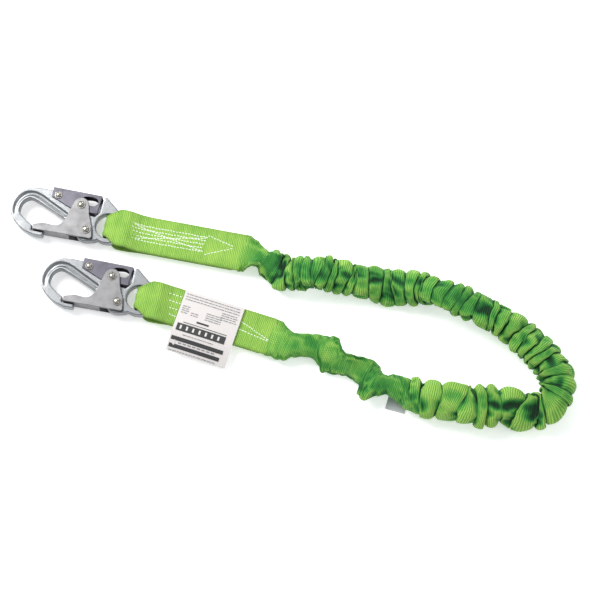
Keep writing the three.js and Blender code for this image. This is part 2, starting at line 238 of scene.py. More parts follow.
def round_edges(obj, width, segments, angle):
    """Bevels the edges that turn by more than an angle in degrees."""
    return modify(obj, "BEVEL", width=width, segments=segments, limit_method="ANGLE",
                  angle_limit=math.radians(angle), use_clamp_overlap=True)


def plate(name, outline, low, high):
    """A plate of an outline in millimetres between two heights in metres."""
    deselect()
    bpy.ops.mesh.primitive_circle_add(vertices=len(outline), radius=1, fill_type="NGON")
    obj = named(name)
    set_points(obj, [(x * MM, y * MM, low) for x, y in outline])

    def thicken():
        bpy.ops.mesh.select_all(action="SELECT")
        bpy.ops.mesh.extrude_region_move(
            TRANSFORM_OT_translate={"value": (0, 0, high - low)}
        )
        bpy.ops.mesh.select_all(action="SELECT")
        normals_out()

    return edit(obj, thicken)


def rod(name, centre, radius, low, high, sides=48):
    deselect()
    bpy.ops.mesh.primitive_cylinder_add(
        vertices=sides, radius=radius, depth=high - low,
        location=(centre[0] * MM, centre[1] * MM, (low + high) / 2),
    )
    bpy.ops.object.transform_apply()
    return named(name)


def cut(obj, *tools):
    for tool in tools:
        modify(obj, "BOOLEAN", object=tool, operation="DIFFERENCE", solver="EXACT")
        bpy.data.objects.remove(tool)
    return obj


def join(name, *objs):
    deselect()
    for obj in objs:
        obj.select_set(True)
    bpy.context.view_layer.objects.active = objs[0]
    bpy.ops.object.join()
    return named(name)


def repeat(pattern, places, name):
    """Copies of a modelled piece, each at its place, as one piece."""
    made = []
    for place in places:
        one = pattern.copy()
        one.data = pattern.data.copy()
        one.data.transform(place)
        bpy.context.scene.collection.objects.link(one)
        made.append(one)
    bpy.data.objects.remove(pattern)
    return join(name, *made)


def wire(name, points, radius, resolution, swell=None):
    """A round wire through points in metres; swell gives its thickness from 0 to 1 along it."""
    deselect()
    bpy.ops.curve.primitive_nurbs_path_add()
    line = bpy.context.object.data
    line.splines.clear()
    run = line.splines.new("POLY")
    run.points.add(len(points) - 1)
    for i, (point, place) in enumerate(zip(run.points, points)):
        point.co = (*place, 1)
        if swell:
            point.radius = swell(i / (len(points) - 1))
    line.dimensions = "3D"
    line.bevel_depth = radius
    line.bevel_resolution = resolution
    line.use_fill_caps = True
    bpy.ops.object.convert(target="MESH")
    return named(name)


def crisp(obj, angle=32):
    """Smooth faces with firm edges, and flat faces left flat."""
    take(obj)
    bpy.ops.object.shade_smooth_by_angle(angle=math.radians(angle))
    return modify(obj, "WEIGHTED_NORMAL", keep_sharp=True, weight=80)


def smooth(obj):
    take(obj)
    bpy.ops.object.shade_smooth()
    return obj


def turned_profile(name, profile, centre, steps=40):
    """A profile of (radius, height) in metres, from axis to axis, spun about the z direction."""
    deselect()
    bpy.ops.mesh.primitive_circle_add(vertices=len(profile), radius=1, fill_type="NOTHING")
    obj = named(name)
    set_points(obj, [(r, 0, z) for r, z in profile])

    def on_axis(edge):
        return max(obj.data.vertices[i].co.x for i in edge.vertices) < 1e-9

    def spin():
        # the circle's closing edge goes
        pick(obj, "EDGE", on_axis)
        bpy.ops.mesh.delete(type="EDGE")
        bpy.ops.mesh.select_all(action="SELECT")
        bpy.ops.mesh.spin(steps=steps, angle=2 * math.pi, center=(0, 0, 0), axis=(0, 0, 1))
        bpy.ops.mesh.select_all(action="SELECT")
        bpy.ops.mesh.remove_doubles(threshold=2e-6)
        bpy.ops.mesh.normals_make_consistent(inside=False)

    edit(obj, spin)
    obj.data.transform(Matrix.Translation((centre[0] * MM, centre[1] * MM, 0)))
    return crisp(obj, 38)


def surface(name, columns, rows, place, size, around=False):
    """A grid whose points are place(a, b), a and b from 0 to 1; its UV map is in metres."""
    deselect()
    bpy.ops.mesh.primitive_grid_add(
        x_subdivisions=columns, y_subdivisions=rows, size=1, calc_uvs=True
    )
    obj = named(name)
    flat = get_points(obj)
    set_points(obj, place(flat[:, 0] + 0.5, flat[:, 1] + 0.5))
    set_uv(obj, get_uv(obj) * np.asarray(size, np.float32))
    if around:
        edit(obj, lambda: bpy.ops.mesh.remove_doubles(threshold=1e-7))
    return obj


def point_values(obj, name, values):
    attribute = obj.data.attributes.new(name, "FLOAT", "POINT")
    attribute.data.foreach_set("value", np.asarray(values, np.float32))


def spline(points, per_span):
    """A centripetal curve through the points, as an array."""
    points = [Vector(p) for p in points]
    ends = [2 * points[0] - points[1], *points, 2 * points[-1] - points[-2]]
    made = []
    for i in range(len(points) - 1):
        p = ends[i : i + 4]
        t = [0.0]
        for a, b in zip(p, p[1:]):
            t.append(t[-1] + max((b - a).length, 1e-9) ** 0.5)
        for k in range(per_span):
            x = t[1] + (t[2] - t[1]) * k / per_span
            q = [a.lerp(b, (x - u) / (v - u)) for a, b, u, v in zip(p, p[1:], t, t[1:])]
            r = [q[0].lerp(q[1], (x - t[0]) / (t[2] - t[0])),
                 q[1].lerp(q[2], (x - t[1]) / (t[3] - t[1]))]
            made.append(r[0].lerp(r[1], (x - t[1]) / (t[2] - t[1])))
    made.append(points[-1])
    return np.array([tuple(p) for p in made])


def arc(centre, radius, first, last, steps):
    turns = [math.radians(first + (last - first) * i / steps) for i in range(steps + 1)]
    return [(centre[0] + radius * math.cos(t), centre[1] + radius * math.sin(t)) for t in turns]


def soft_step(value, low, high):
    t = min(max((value - low) / (high - low), 0), 1)
    return t * t * (3 - 2 * t)


def curve_points(points, per_span):
    return [(x, y) for x, y, _ in spline([(x, y, 0) for x, y in points], per_span)]


def at_both_ends(model, node, body, finish):
    """Copies a hook piece to each end, gives it its finish, rides it on its body and hides its node.
    """
    for end in ENDS:
        obj = model.copy()
        obj.data = model.data.copy()
        obj.name = obj.data.name = f"{end}_{node}_finished"
        bpy.context.scene.collection.objects.link(obj)
        obj.data.transform(hook_matrix(end))
        obj.data.materials.clear()
        obj.data.materials.append(finish)
        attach(obj, f"{end}_{body}")
        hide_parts(f"{end}_{node}")
    bpy.data.objects.remove(model)


# ------------------------------------------------------------------ materials


class Nodes:
    """Short calls for placing and linking shader nodes."""

    def __init__(self, tree):
        self.tree = tree

    def add(self, kind, **values):
        node = self.tree.nodes.new(kind)
        for key, value in values.items():
            if key in node.inputs:
                self.feed(value, node.inputs[key])
            else:
                setattr(node, key, value)
        return node

    def feed(self, value, socket):
        if isinstance(value, bpy.types.NodeSocket):
            self.tree.links.new(value, socket)
        else:
            socket.default_value = value

    def math(self, operation, a, b=0.0, clamp=False):
        node = self.add("ShaderNodeMath", operation=operation, use_clamp=clamp)
        self.feed(a, node.inputs[0])
        self.feed(b, node.inputs[1])
        return node.outputs[0]

    def mix(self, factor, a, b, blend="MIX"):
        node = self.add("ShaderNodeMix", data_type="RGBA", blend_type=blend)
        self.feed(factor, node.inputs[0])
        for value, socket in ((a, node.inputs[6]), (b, node.inputs[7])):
            self.feed((*value, 1) if isinstance(value, tuple) else value, socket)
        return node.outputs[2]

    def noise(self, vector, scale, detail=3.0, roughness=0.55):
        node = self.add("ShaderNodeTexNoise")
        self.feed(vector, node.inputs["Vector"])
        node.inputs["Scale"].default_value = scale
        node.inputs["Detail"].default_value = detail
        node.inputs["Roughness"].default_value = roughness
        return node.outputs["Fac"]

    def remap(self, value, low, high, out_low=0.0, out_high=1.0):
        node = self.add("ShaderNodeMapRange")
        for key, item in (("Value", value), ("From Min", low), ("From Max", high),
                          ("To Min", out_low), ("To Max", out_high)):
            self.feed(item, node.inputs[key])
        return node.outputs["Result"]


def group(name, inputs, outputs):
    """An empty shader group with its sockets, and its first and last nodes."""
    tree = bpy.data.node_groups.new(name, "ShaderNodeTree")
    for key, kind, default in inputs:
        socket = tree.interface.new_socket(name=key, in_out="INPUT", socket_type=kind)
        if default is not None:
            socket.default_value = default
    for key, kind in outputs:
        tree.interface.new_socket(name=key, in_out="OUTPUT", socket_type=kind)
    nodes = Nodes(tree)
    return nodes, nodes.add("NodeGroupInput"), nodes.add("NodeGroupOutput")


FLOAT, VECTOR, COLOUR = "NodeSocketFloat", "NodeSocketVector", "NodeSocketColor"


def weave_group():
    """Ribbed webbing: ribs across the length, each made of short slanting yarns."""
    nodes, start, end = group(
        "Ribbed_weave",
        [("UV", VECTOR, None), ("Rib", FLOAT, 0.0021), ("Yarn", FLOAT, 0.0011)],
        [("Height", FLOAT), ("Yarn top", FLOAT)],
    )
    split = nodes.add("ShaderNodeSeparateXYZ")
    nodes.feed(start.outputs["UV"], split.inputs[0])
    warp = nodes.noise(start.outputs["UV"], 180.0, 2.0)
    sway = nodes.math("MULTIPLY", nodes.math("SUBTRACT", warp, 0.5), 0.9)
    along = nodes.math("DIVIDE", split.outputs[0], start.outputs["Rib"])
    along = nodes.math("ADD", along, sway)
    rib = nodes.math("ABSOLUTE", nodes.math("SINE", nodes.math("MULTIPLY", along, math.pi)))
    across = nodes.math("DIVIDE", split.outputs[1], start.outputs["Yarn"])
    slant = nodes.math("ADD", across, nodes.math("MULTIPLY", along, 0.5))
    yarn = nodes.math("ABSOLUTE", nodes.math("SINE", nodes.math("MULTIPLY", slant, math.pi)))
    height = nodes.math("MULTIPLY", nodes.math("POWER", rib, 0.7),
                        nodes.remap(yarn, 0.0, 1.0, 0.55, 1.0))
    nodes.feed(height, end.inputs["Height"])
    # Yarn top is 1 on the raised yarn and 0 in the grooves; the webbing's colour uses it for painted
    # shade in the grooves.
    nodes.feed(nodes.remap(height, 0.35, 0.95), end.inputs["Yarn top"])
    return nodes.tree


def plating_group():
    """Zinc plating: soft mottling, fine scratches and brighter worn places."""
    nodes, start, end = group(
        "Zinc_plating",
        [("Position", VECTOR, None), ("Plating", COLOUR, (0.6, 0.6, 0.6, 1)),
         ("Mottle", FLOAT, 0.5), ("Roughness", FLOAT, 0.35)],
        [("Color", COLOUR), ("Roughness", FLOAT), ("Height", FLOAT)],
    )
    place = start.outputs["Position"]
    cloud = nodes.noise(place, 90.0, 4.0)
    grain = nodes.noise(place, 900.0, 3.0, 0.7)
    stretch = nodes.add("ShaderNodeMapping")
    nodes.feed(place, stretch.inputs["Vector"])
    stretch.inputs["Scale"].default_value = (60.0, 1400.0, 1400.0)
    stretch.inputs["Rotation"].default_value = (0, 0, math.radians(25))
    scratch = nodes.noise(stretch.outputs[0], 1.0, 2.0)
    dark = nodes.mix(1.0, start.outputs["Plating"], (0.72, 0.73, 0.76), "MULTIPLY")
    mask = nodes.math("MULTIPLY", nodes.remap(cloud, 0.35, 0.68), start.outputs["Mottle"])
    tone = nodes.mix(mask, start.outputs["Plating"], dark)
    nodes.feed(tone, end.inputs["Color"])
    rough = nodes.math("ADD", start.outputs["Roughness"], nodes.remap(cloud, 0.3, 0.7, -0.06, 0.1))
    rough = nodes.math("ADD", rough, nodes.remap(scratch, 0.55, 0.75, 0.0, 0.1))
    nodes.feed(rough, end.inputs["Roughness"])
    height = nodes.math("ADD", nodes.math("MULTIPLY", grain, 0.7),
                        nodes.math("MULTIPLY", scratch, 0.3))
    nodes.feed(height, end.inputs["Height"])
    return nodes.tree


def new_material(name):
    material = bpy.data.materials.new(name)
    material.use_nodes = True
    nodes = Nodes(material.node_tree)
    return material, nodes, material.node_tree.nodes["Principled BSDF"]


def bumped(nodes, shader, height, strength, distance):
    bump = nodes.add("ShaderNodeBump")
    bump.inputs["Strength"].default_value = strength
    bump.inputs["Distance"].default_value = distance
    nodes.feed(height, bump.inputs["Height"])
    nodes.feed(bump.outputs["Normal"], shader.inputs["Normal"])


# The dye with painted shade deep in a fold and a painted highlight on its crest, from the bottom of
# a fold to its crest: (place on the fold, colour)
FOLD_SHADE_TONES = (
    (0.0, (0.001, 0.026, 0.006)), (0.10, (0.002, 0.056, 0.011)), (0.24, (0.014, 0.165, 0.028)),
    (0.45, (0.050, 0.300, 0.045)), (0.68, (0.125, 0.430, 0.062)), (0.88, (0.235, 0.535, 0.085)),
    (1.0, (0.350, 0.630, 0.105)),
)


def webbing_material(name, light, deep, folds):
    """Green ribbed webbing; where it is gathered, its tone follows the folds, with painted shade
    deep in them and a painted highlight on their crests.
    """
    material, nodes, shader = new_material(name)
    uv = nodes.add("ShaderNodeUVMap").outputs["UV"]
    weave = nodes.add("ShaderNodeGroup", node_tree=bpy.data.node_groups["Ribbed_weave"])
    nodes.feed(uv, weave.inputs["UV"])
    # wide patches and short streaks, lighter and darker: partly the webbing's two-tone yarn, partly
    # painted satin sheen
    place = nodes.add("ShaderNodeTexCoord").outputs["Object"]
    sheen_patch = nodes.remap(nodes.noise(place, 55.0, 3.0, 0.6), 0.38, 0.62)
    streak = nodes.add("ShaderNodeMapping")
    nodes.feed(uv, streak.inputs["Vector"])
    streak.inputs["Scale"].default_value = (330.0, 26.0, 1.0)
    band = nodes.remap(nodes.noise(streak.outputs[0], 1.0, 2.0), 0.4, 0.6)
    tone = nodes.math("ADD", nodes.math("MULTIPLY", sheen_patch, 0.6), nodes.math("MULTIPLY", band, 0.4))

    def between(share):
        """A colour from the deep (0) to the light one (1)."""
        return tuple(share * a + (1 - share) * b for a, b in zip(light, deep))

    if folds:
        # the fold attribute sets painted shade deep in the folds and a painted highlight on their
        # crests
        fold = nodes.add("ShaderNodeAttribute", attribute_name="fold").outputs["Fac"]
        ramp = nodes.add("ShaderNodeValToRGB")
        nodes.feed(nodes.math("ADD", fold, nodes.remap(tone, 0.0, 1.0, -0.07, 0.07)), ramp.inputs[0])
        stops = ramp.color_ramp.elements
        for _ in FOLD_SHADE_TONES[2:]:
            stops.new(0.5)
        for stop, (place_on_fold, colour_there) in zip(stops, FOLD_SHADE_TONES):
            stop.position = place_on_fold
            stop.color = (*colour_there, 1)
        dye_and_fold_shade = ramp.outputs["Color"]
        # the ground between the ribs is darker: painted shade in the grooves
        ground = nodes.mix(1.0, dye_and_fold_shade, (0.42, 0.60, 0.45), "MULTIPLY")
        # where the patches are high the yarn tops turn lighter and paler: partly two-tone yarn,
        # partly painted sheen
        yarn_top = nodes.mix(tone, dye_and_fold_shade, nodes.mix(1.0, dye_and_fold_shade, (1.3, 1.15, 1.3), "MULTIPLY"))
        cloth = nodes.mix(weave.outputs["Yarn top"], ground, yarn_top)
    else:
        # the ground between the ribs is darker: painted shade in the grooves
        ground = nodes.mix(tone, between(0.2), between(0.6))
        # where the patches are high the yarn tops turn lighter: partly two-tone yarn, partly painted
        # sheen
        yarn_top = nodes.mix(tone, between(0.7), light)
        cloth = nodes.mix(weave.outputs["Yarn top"], ground, yarn_top)
    nodes.feed(cloth, shader.inputs["Base Color"])
    nodes.feed(nodes.remap(weave.outputs["Yarn top"], 0.0, 1.0, 0.8, 0.5),
               shader.inputs["Roughness"])
    shader.inputs["Sheen Weight"].default_value = 0.05
    shader.inputs["Sheen Roughness"].default_value = 0.4
    shader.inputs["Specular IOR Level"].default_value = 0.3
    bumped(nodes, shader, weave.outputs["Height"], 1.0, 0.0009)
    return material


def metal_material(name, plating, mottle, roughness, bump):
    material, nodes, shader = new_material(name)
    place = nodes.add("ShaderNodeTexCoord").outputs["Object"]
    coat = nodes.add("ShaderNodeGroup", node_tree=bpy.data.node_groups["Zinc_plating"])
    nodes.feed(place, coat.inputs["Position"])
    coat.inputs["Plating"].default_value = (*plating, 1)
    coat.inputs["Mottle"].default_value = mottle
    coat.inputs["Roughness"].default_value = roughness
    nodes.feed(coat.outputs["Color"], shader.inputs["Base Color"])
    nodes.feed(coat.outputs["Roughness"], shader.inputs["Roughness"])
    shader.inputs["Metallic"].default_value = 1.0
    bumped(nodes, shader, coat.outputs["Height"], bump, 0.0004)
    return material


def plain_material(name, base, roughness, grain_scale, tint=0.85, bump=0.15):
    """Thread, label sheet and tag: one colour with a fine grain."""
    material, nodes, shader = new_material(name)
    place = nodes.add("ShaderNodeTexCoord").outputs["Object"]
    grain = nodes.noise(place, grain_scale, 3.0)
    darker = tuple(tint * c for c in base)
    nodes.feed(nodes.mix(nodes.remap(grain, 0.35, 0.65), darker, tuple(base)),
               shader.inputs["Base Color"])
    shader.inputs["Roughness"].default_value = roughness
    bumped(nodes, shader, grain, bump, 0.0003)
    return material


def material(name):
    return bpy.data.materials[name]


class LANYARD_OT_finishes(bpy.types.Operator):
    """Make the finishes"""

    bl_idname = "lanyard.finishes"
    bl_label = "Finishes"

    def execute(self, context):
        palette = colours()
        weave_group()
        plating_group()
        light, deep = tuple(palette.web_light), tuple(palette.web_deep)
        webbing_material("Green_webbing", light, deep, folds=False)
        webbing_material("Gathered_webbing", light, deep, folds=True)
        metal_material("Forged_zinc", tuple(palette.forged), 0.5, 0.34, 0.35)
        metal_material("Lever_zinc", tuple(palette.pressed), 0.7, 0.42, 0.2)
        metal_material("Gate_zinc", tuple(palette.gate), 0.7, 0.40, 0.25)
        metal_material("Rivet_steel", tuple(palette.rivet), 0.3, 0.22, 0.05)
        metal_material("Spring_wire", (0.3, 0.3, 0.31), 0.2, 0.3, 0.05)
        plain_material("White_thread", tuple(palette.thread), 0.75, 2400.0)
        plain_material("Label_sheet", tuple(palette.label), 0.55, 500.0, 0.95, 0.05)
        plain_material("Grey_print", (0.22, 0.22, 0.23), 0.7, 900.0)
        plain_material("Black_print", tuple(palette.ink), 0.6, 900.0)
        plain_material("Core_elastic", (0.75, 0.72, 0.62), 0.8, 1200.0)
        plain_material("Grey_tag", (0.55, 0.56, 0.58), 0.6, 1500.0)
        return {"FINISHED"}


# ------------------------------------------------------------------ the hook's outlines, in mm

GATE_PIVOT = (-24.6, -10.8)
STOP_PIN = (-37.3, 18.7)
LEVER_PIVOT = (-67.3, 26.0)
NOSE_STEP_X = -89.6
LIP_TOP = -23.0
LIP_BOTTOM = -28.3
GATE_TIP_X = -88.0
GATE_BOTTOM = -22.5
LEVER_TOP = 35.4

# radii of the bores and how far a cutting tool stands out, in metres
GATE_BORE, PIN_BORE, LEVER_BORE = 0.0033, 0.0028, 0.0025
PAST = 0.002


def body_outline():
    crown_outside = curve_points(
        [(-88.4, 31.8), (-101, 30), (-110, 24.8), (-116.6, 16.5), (-119.8, 7.5), (-120.4, -0.5),
         (-117.8, -8.3), (-110.9, -16.2), (-98.6, -24.9), (-86, LIP_BOTTOM)], 8)
    nose_inside = curve_points(
        [(NOSE_STEP_X, -17), (-95.5, -13.9), (-101.5, -10), (-106.2, -6), (-109.1, -2)], 6)
    top_inside = curve_points(
        [(-109.1, 5), (-107.6, 10), (-104, 14.2), (-99, 16.6), (-90, 14.2)], 6)
    return [
        *arc((0, 0), 21.5, -115, 52, 40),
        *arc((-10.4, 32.4), 3, 52, 172, 10),
        *arc((0, 0), 20.1, 133, 155, 5),
        (-26, 9), (-30, 10), (-43, 13.5), (-47, 17), (-55, 27), (-62, 31.5), (-76, 31.5),
        *crown_outside,
        *arc((-76.6, -26.3), 2, 270, 360, 5),
        (-74.6, LIP_TOP), (NOSE_STEP_X, LIP_TOP),
        *nose_inside,
        *top_inside,
        (-52.6, -1.8), (-42, -6.5),
        *arc(GATE_PIVOT, 13.5, 183, 285, 22),
        (-13.8, -21.9),
    ]


def gate_outline():
    return [
        (GATE_TIP_X, GATE_BOTTOM), (-20, -21.2),
        *arc((-19.2, -18.2), 3, -85, 10, 5),
        *curve_points([(-18.7, -6), (-22.5, 2), (-25.5, 9.2)], 4),
        *arc(STOP_PIN, 9.2, 8, 168, 20),
        *curve_points([(-49.8, 7.5), (-52, -2.1), (-54, -6.7), (-57.5, -10.9), (-61.2, -12.6),
                       (-68, -13), (-75.4, -12.4), (-82, -14.4), (GATE_TIP_X, -16.5)], 4),
    ]


def lever_outline():
    return [
        (-75.4, LEVER_TOP), (-75.2, 22.8), (-48.4, 12.1), (-42, 10.9), (-16.4, 11.4),
        (-15.1, LEVER_TOP),
    ]


def lever_window():
    return curve_points(
        [(-33, 20.8), (-22.5, 20.8), (-19.2, 23.4), (-18.4, 26.6), (-20.4, 29.8), (-25, 31.4),
         (-31, 31.2), (-37, 29.4), (-38.5, 26), (-37, 22.4)], 4)


def turned_about(point, centre, degrees):
    c, s = math.cos(math.radians(degrees)), math.sin(math.radians(degrees))
    x, y = point[0] - centre[0], point[1] - centre[1]
    return (centre[0] + x * c - y * s, centre[1] + x * s + y * c)


def layers():
    """The heights of the pressed parts above the middle of the forging."""
    s = sizes()
    lever_inner = s.body_half + s.gap
    lever_outer = lever_inner + s.lever_gauge
    gate_inner = lever_outer + s.gap
    return lever_inner, lever_outer, gate_inner, gate_inner + s.gate_gauge


class LANYARD_OT_hook_bodies(bpy.types.Operator):
    """Forge the two hook bodies"""

    bl_idname = "lanyard.hook_bodies"
    bl_label = "Hook bodies"

    def execute(self, context):
        s = sizes()
        half = s.body_half
        body = plate("hook_body", body_outline(), -half, half)
        reach = half + PAST
        cut(
            body,
            rod("eye", (0, 0), s.eye_radius, -reach, reach, 96),
            rod("gate_bore", GATE_PIVOT, GATE_BORE, -reach, reach),
            rod("lever_bore", LEVER_PIVOT, LEVER_BORE, -reach, reach),
            rod("gate_pocket", GATE_PIVOT, 0.0065, -0.0037, 0.0037),
            rod("lever_pocket", LEVER_PIVOT, 0.0042, -0.0024, 0.0024),
        )
        round_edges(body, 0.0021, 4, 50)
        cut(body, *self.channels(half))
        modify(body, "REMESH", mode="VOXEL", voxel_size=0.0006)
        modify(body, "SMOOTH", factor=0.5, iterations=4)
        smooth(body)
        at_both_ends(body, "hook_body", "hook", material("Forged_zinc"))
        return {"FINISHED"}

    def channels(self, half):
        """The forged channel along the crown and the spine, one tool for each face."""
        way = [(-113.6, -7), (-114.8, 0), (-114.2, 7), (-110.8, 15), (-104.5, 21), (-96.5, 22.6),
               (-88, 20.6), (-76, 14.8), (-64, 9.2), (-52, 3.4)]
        tools = []
        for side in (-1, 1):
            points = spline([(x * MM, y * MM, side * (half + 0.0024)) for x, y in way], 6)
            tool = wire("channel", points, 0.0036, 6, lambda t: 0.8 + 0.35 * min(1, 3 * t))
            tools.append(edit(tool, normals_out))
        return tools


def hollow_channel(name, outline, outer, inner, inside, bend):
    """A pressed channel: a block of the outline with its folded edges rounded, then emptied."""
    block = plate(name, outline, -outer, outer)
    round_edges(block, bend, 4, 60)
    hollow = plate("inside", inside, -inner, inner)
    return cut(block, hollow)


class LANYARD_OT_gates(bpy.types.Operator):
    """Press the two gates"""

    bl_idname = "lanyard.gates"
    bl_label = "Gates"

    def execute(self, context):
        _, _, inner, outer = layers()
        sheet = sizes().gate_gauge / MM
        inside = [
            (GATE_TIP_X + sheet, GATE_BOTTOM + sheet), (-44, GATE_BOTTOM + sheet + 0.3),
            (-44, -40), (0, -40), (0, 40), (-100, 40), (-100, -16.4), (GATE_TIP_X + sheet, -16.4),
        ]
        gate = hollow_channel("gate", gate_outline(), outer, inner, inside, 0.0006)
        reach = outer + PAST
        cut(gate, rod("bore", GATE_PIVOT, GATE_BORE, -reach, reach),
            rod("pin_hole", STOP_PIN, PIN_BORE, -reach, reach))
        crisp(gate)
        at_both_ends(gate, "gate", "gate_body", material("Gate_zinc"))
        return {"FINISHED"}


class LANYARD_OT_levers(bpy.types.Operator):
    """Press the two lock levers"""

    bl_idname = "lanyard.levers"
    bl_label = "Lock levers"

    def execute(self, context):
        inner, outer, _, _ = layers()
        sheet = sizes().lever_gauge / MM
        under = LEVER_TOP - sheet
        inside = [(-90, under), (-90, 0), (0, 0), (0, under)]
        lever = hollow_channel("lever", lever_outline(), outer, inner, inside, 0.0008)
        reach = outer + PAST
        # the slot follows the stop pin as the gate turns by 22 degrees and the lever by 9
        opened = turned_about(turned_about(STOP_PIN, GATE_PIVOT, -22), LEVER_PIVOT, 9)
        heading = math.degrees(math.atan2(opened[1] - STOP_PIN[1], opened[0] - STOP_PIN[0]))
        slot = [*arc(STOP_PIN, 2.9, heading + 90, heading + 270, 12),
                *arc(opened, 2.9, heading - 90, heading + 90, 12)]
        cut(
            lever,
            plate("window", lever_window(), -reach, reach),
            plate("slot", slot, -reach, reach),
            rod("bore", LEVER_PIVOT, LEVER_BORE, -reach, reach),
        )
        round_edges(lever, 0.00025, 2, 60)
        crisp(lever)
        at_both_ends(lever, "lock_lever", "lever_body",
                     material("Lever_zinc"))
        return {"FINISHED"}


def headed_rivet(name, centre, shaft, head, base, rise):
    """A rivet with a flanged, domed head on each face; all in metres."""
    dome = 0.74 * head
    upper = [(shaft, base - 0.0002), (head, base - 0.0002), (head, base + 0.2 * rise),
             (head - 0.0003, base + 0.3 * rise), (0.9 * head, base + 0.3 * rise),
             (0.85 * head, base + 0.08 * rise), (dome + 0.0001, base + 0.08 * rise)]
    steps = 8
    for i in range(steps + 1):
        t = math.pi / 2 * i / steps
        upper.append((dome * math.cos(t), base + 0.2 * rise + 0.8 * rise * math.sin(t)))
    upper[-1] = (0.0, base + rise)
    lower = [(r, -z) for r, z in reversed(upper)]
    return turned_profile(name, [*lower, *upper], centre)


class LANYARD_OT_rivets(bpy.types.Operator):
    """Head the rivets of both hooks"""

    bl_idname = "lanyard.rivets"
    bl_label = "Rivets"

    def execute(self, context):
        _, lever_outer, _, gate_outer = layers()
        gap = sizes().gap
        steel = material("Rivet_steel")
        for node, body, centre, shaft, head, base, rise in (
            ("gate_pivot_rivet", "hook", GATE_PIVOT, 0.003, 0.0052, gate_outer + gap, 0.0025),
            ("gate_stop_rivet", "gate_body", STOP_PIN, 0.0025, 0.0050, gate_outer + gap, 0.0025),
            ("lever_rivet", "hook", LEVER_PIVOT, 0.0022, 0.0045, lever_outer + gap, 0.0022),
        ):
            model = headed_rivet(node, centre, shaft, head, base, rise)
            at_both_ends(model, node, body, steel)
        return {"FINISHED"}


class LANYARD_OT_springs(bpy.types.Operator):
    """Wind the springs inside both hooks"""

    bl_idname = "lanyard.springs"
    bl_label = "Springs"

    def execute(self, context):
        # centre, radius, wire, turns and pitch in mm, then (degrees, reach) of each leg
        for node, centre, radius, gauge, turns, pitch, first, last in (
            ("gate_spring", GATE_PIVOT, 5.2, 0.7, 3, 1.8, (125, 13.5), (207, 19.2)),
            ("lever_spring", LEVER_PIVOT, 3.1, 0.5, 2, 1.35, (250, 9), (390, 13.6)),
        ):
            swept = 360 * turns + last[0] - first[0]
            count = int(swept / 9)
            height = turns * pitch
            way = [(*arc(centre, first[1], first[0], first[0], 1)[0], -height / 2)]
            for i in range(count + 1):
                t = i / count
                degrees = first[0] + 8 + (swept - 16) * t
                way.append((*arc(centre, radius, degrees, degrees, 1)[0], height * (t - 0.5)))
            way.append((*arc(centre, last[1], last[0], last[0], 1)[0], height / 2))
            way = [(x * MM, y * MM, z * MM) for x, y, z in way]
            spring = smooth(wire(node, way, gauge * MM, 3))
            at_both_ends(spring, node, "hook", material("Spring_wire"))
        return {"FINISHED"}


# ------------------------------------------------------------------ webbing through the eyes


SEWN_LEAD = 0.004   # the sewn part begins this far past the hinge
PLAN_BEND = 0.012   # the webbing turns in its plane this far before and after the hinge


def sewn_direction(end):
    """Along the sewn end, away from the hook, from the box of its node and the hinge."""
    low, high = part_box(f"{end}_sewn_end")
    middle = (low + high) / 2
    way = middle - flex_point(end)
    return Vector((way.x, way.y, 0)).normalized()


def sewn_tail(end):
    """The middle of the sewn end's tail."""
    low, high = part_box(f"{end}_sewn_end")
    middle = (low + high) / 2
    way = sewn_direction(end)
    reach = (Vector((middle.x, middle.y, 0)) - flex_point(end).xy.to_3d()).length
    return flex_point(end) + way * (2 * reach - SEWN_LEAD)


def plan_at(end, distance):
    """The point and heading of the webbing at a distance from the eye, seen from above."""
    bend = (flex_point(end) - eye(end)).xy.length
    hook, sewn = hook_along(end), sewn_direction(end)
    turn = soft_step(distance, bend - PLAN_BEND, bend + PLAN_BEND)
    heading = hook.lerp(sewn, turn).normalized()
    if distance <= bend:
        point = eye(end) + hook * distance
    else:
        point = flex_point(end) + sewn * (distance - bend)
    return Vector((point.x, point.y, 0)), heading


def loop_way(end):
    """The webbing's middle line: (distance from the eye, height), tail, over the eye and back."""
    s = sizes()
    rise = eye(end).z
    tail = (sewn_tail(end) - eye(end)).xy.length
    sewn_z = flex_point(end).z
    layer = s.web_thick / 2
    over = s.body_half + 0.0009 + layer
    turn_x = s.eye_radius - 0.0117
    top = [(tail + 0.004, sewn_z + layer), (0.12, sewn_z + layer), (0.08, sewn_z + layer),
           (0.055, sewn_z + layer), (0.045, sewn_z + layer + 0.0006),
           (0.036, sewn_z + layer + 0.0024), (0.029, rise + 0.62 * over),
           (0.0225, rise + over), (0.013, rise + over + 0.0003), (turn_x, rise + over)]
    turn = [(turn_x - over * math.sin(a), rise + over * math.cos(a))
            for a in (0.25 * math.pi, 0.5 * math.pi, 0.75 * math.pi)]
    bottom = [(turn_x, rise - over), (0.013, rise - over), (0.0225, rise - over),
              (0.030, rise - 0.92 * over), (0.038, sewn_z - layer - 0.0012),
              (0.050, sewn_z - layer), (0.08, sewn_z - layer), (0.12, sewn_z - layer),
              (tail - 0.004, sewn_z - layer)]
    return top, turn, bottom


def half_width_at(end, distance, height):
    """Half of the webbing's width: gathered in the hole of the eye and full past the ring."""
    full = sizes().web_width / 2
    in_hole = 0.0132
    beside = soft_step(distance, -0.005, 0.015)
    above = soft_step(abs(height - eye(end).z), 0.0046, 0.0064)
    above = max(above, soft_step(distance, 0.0165, 0.021))
    return in_hole + (full - in_hole) * beside * above


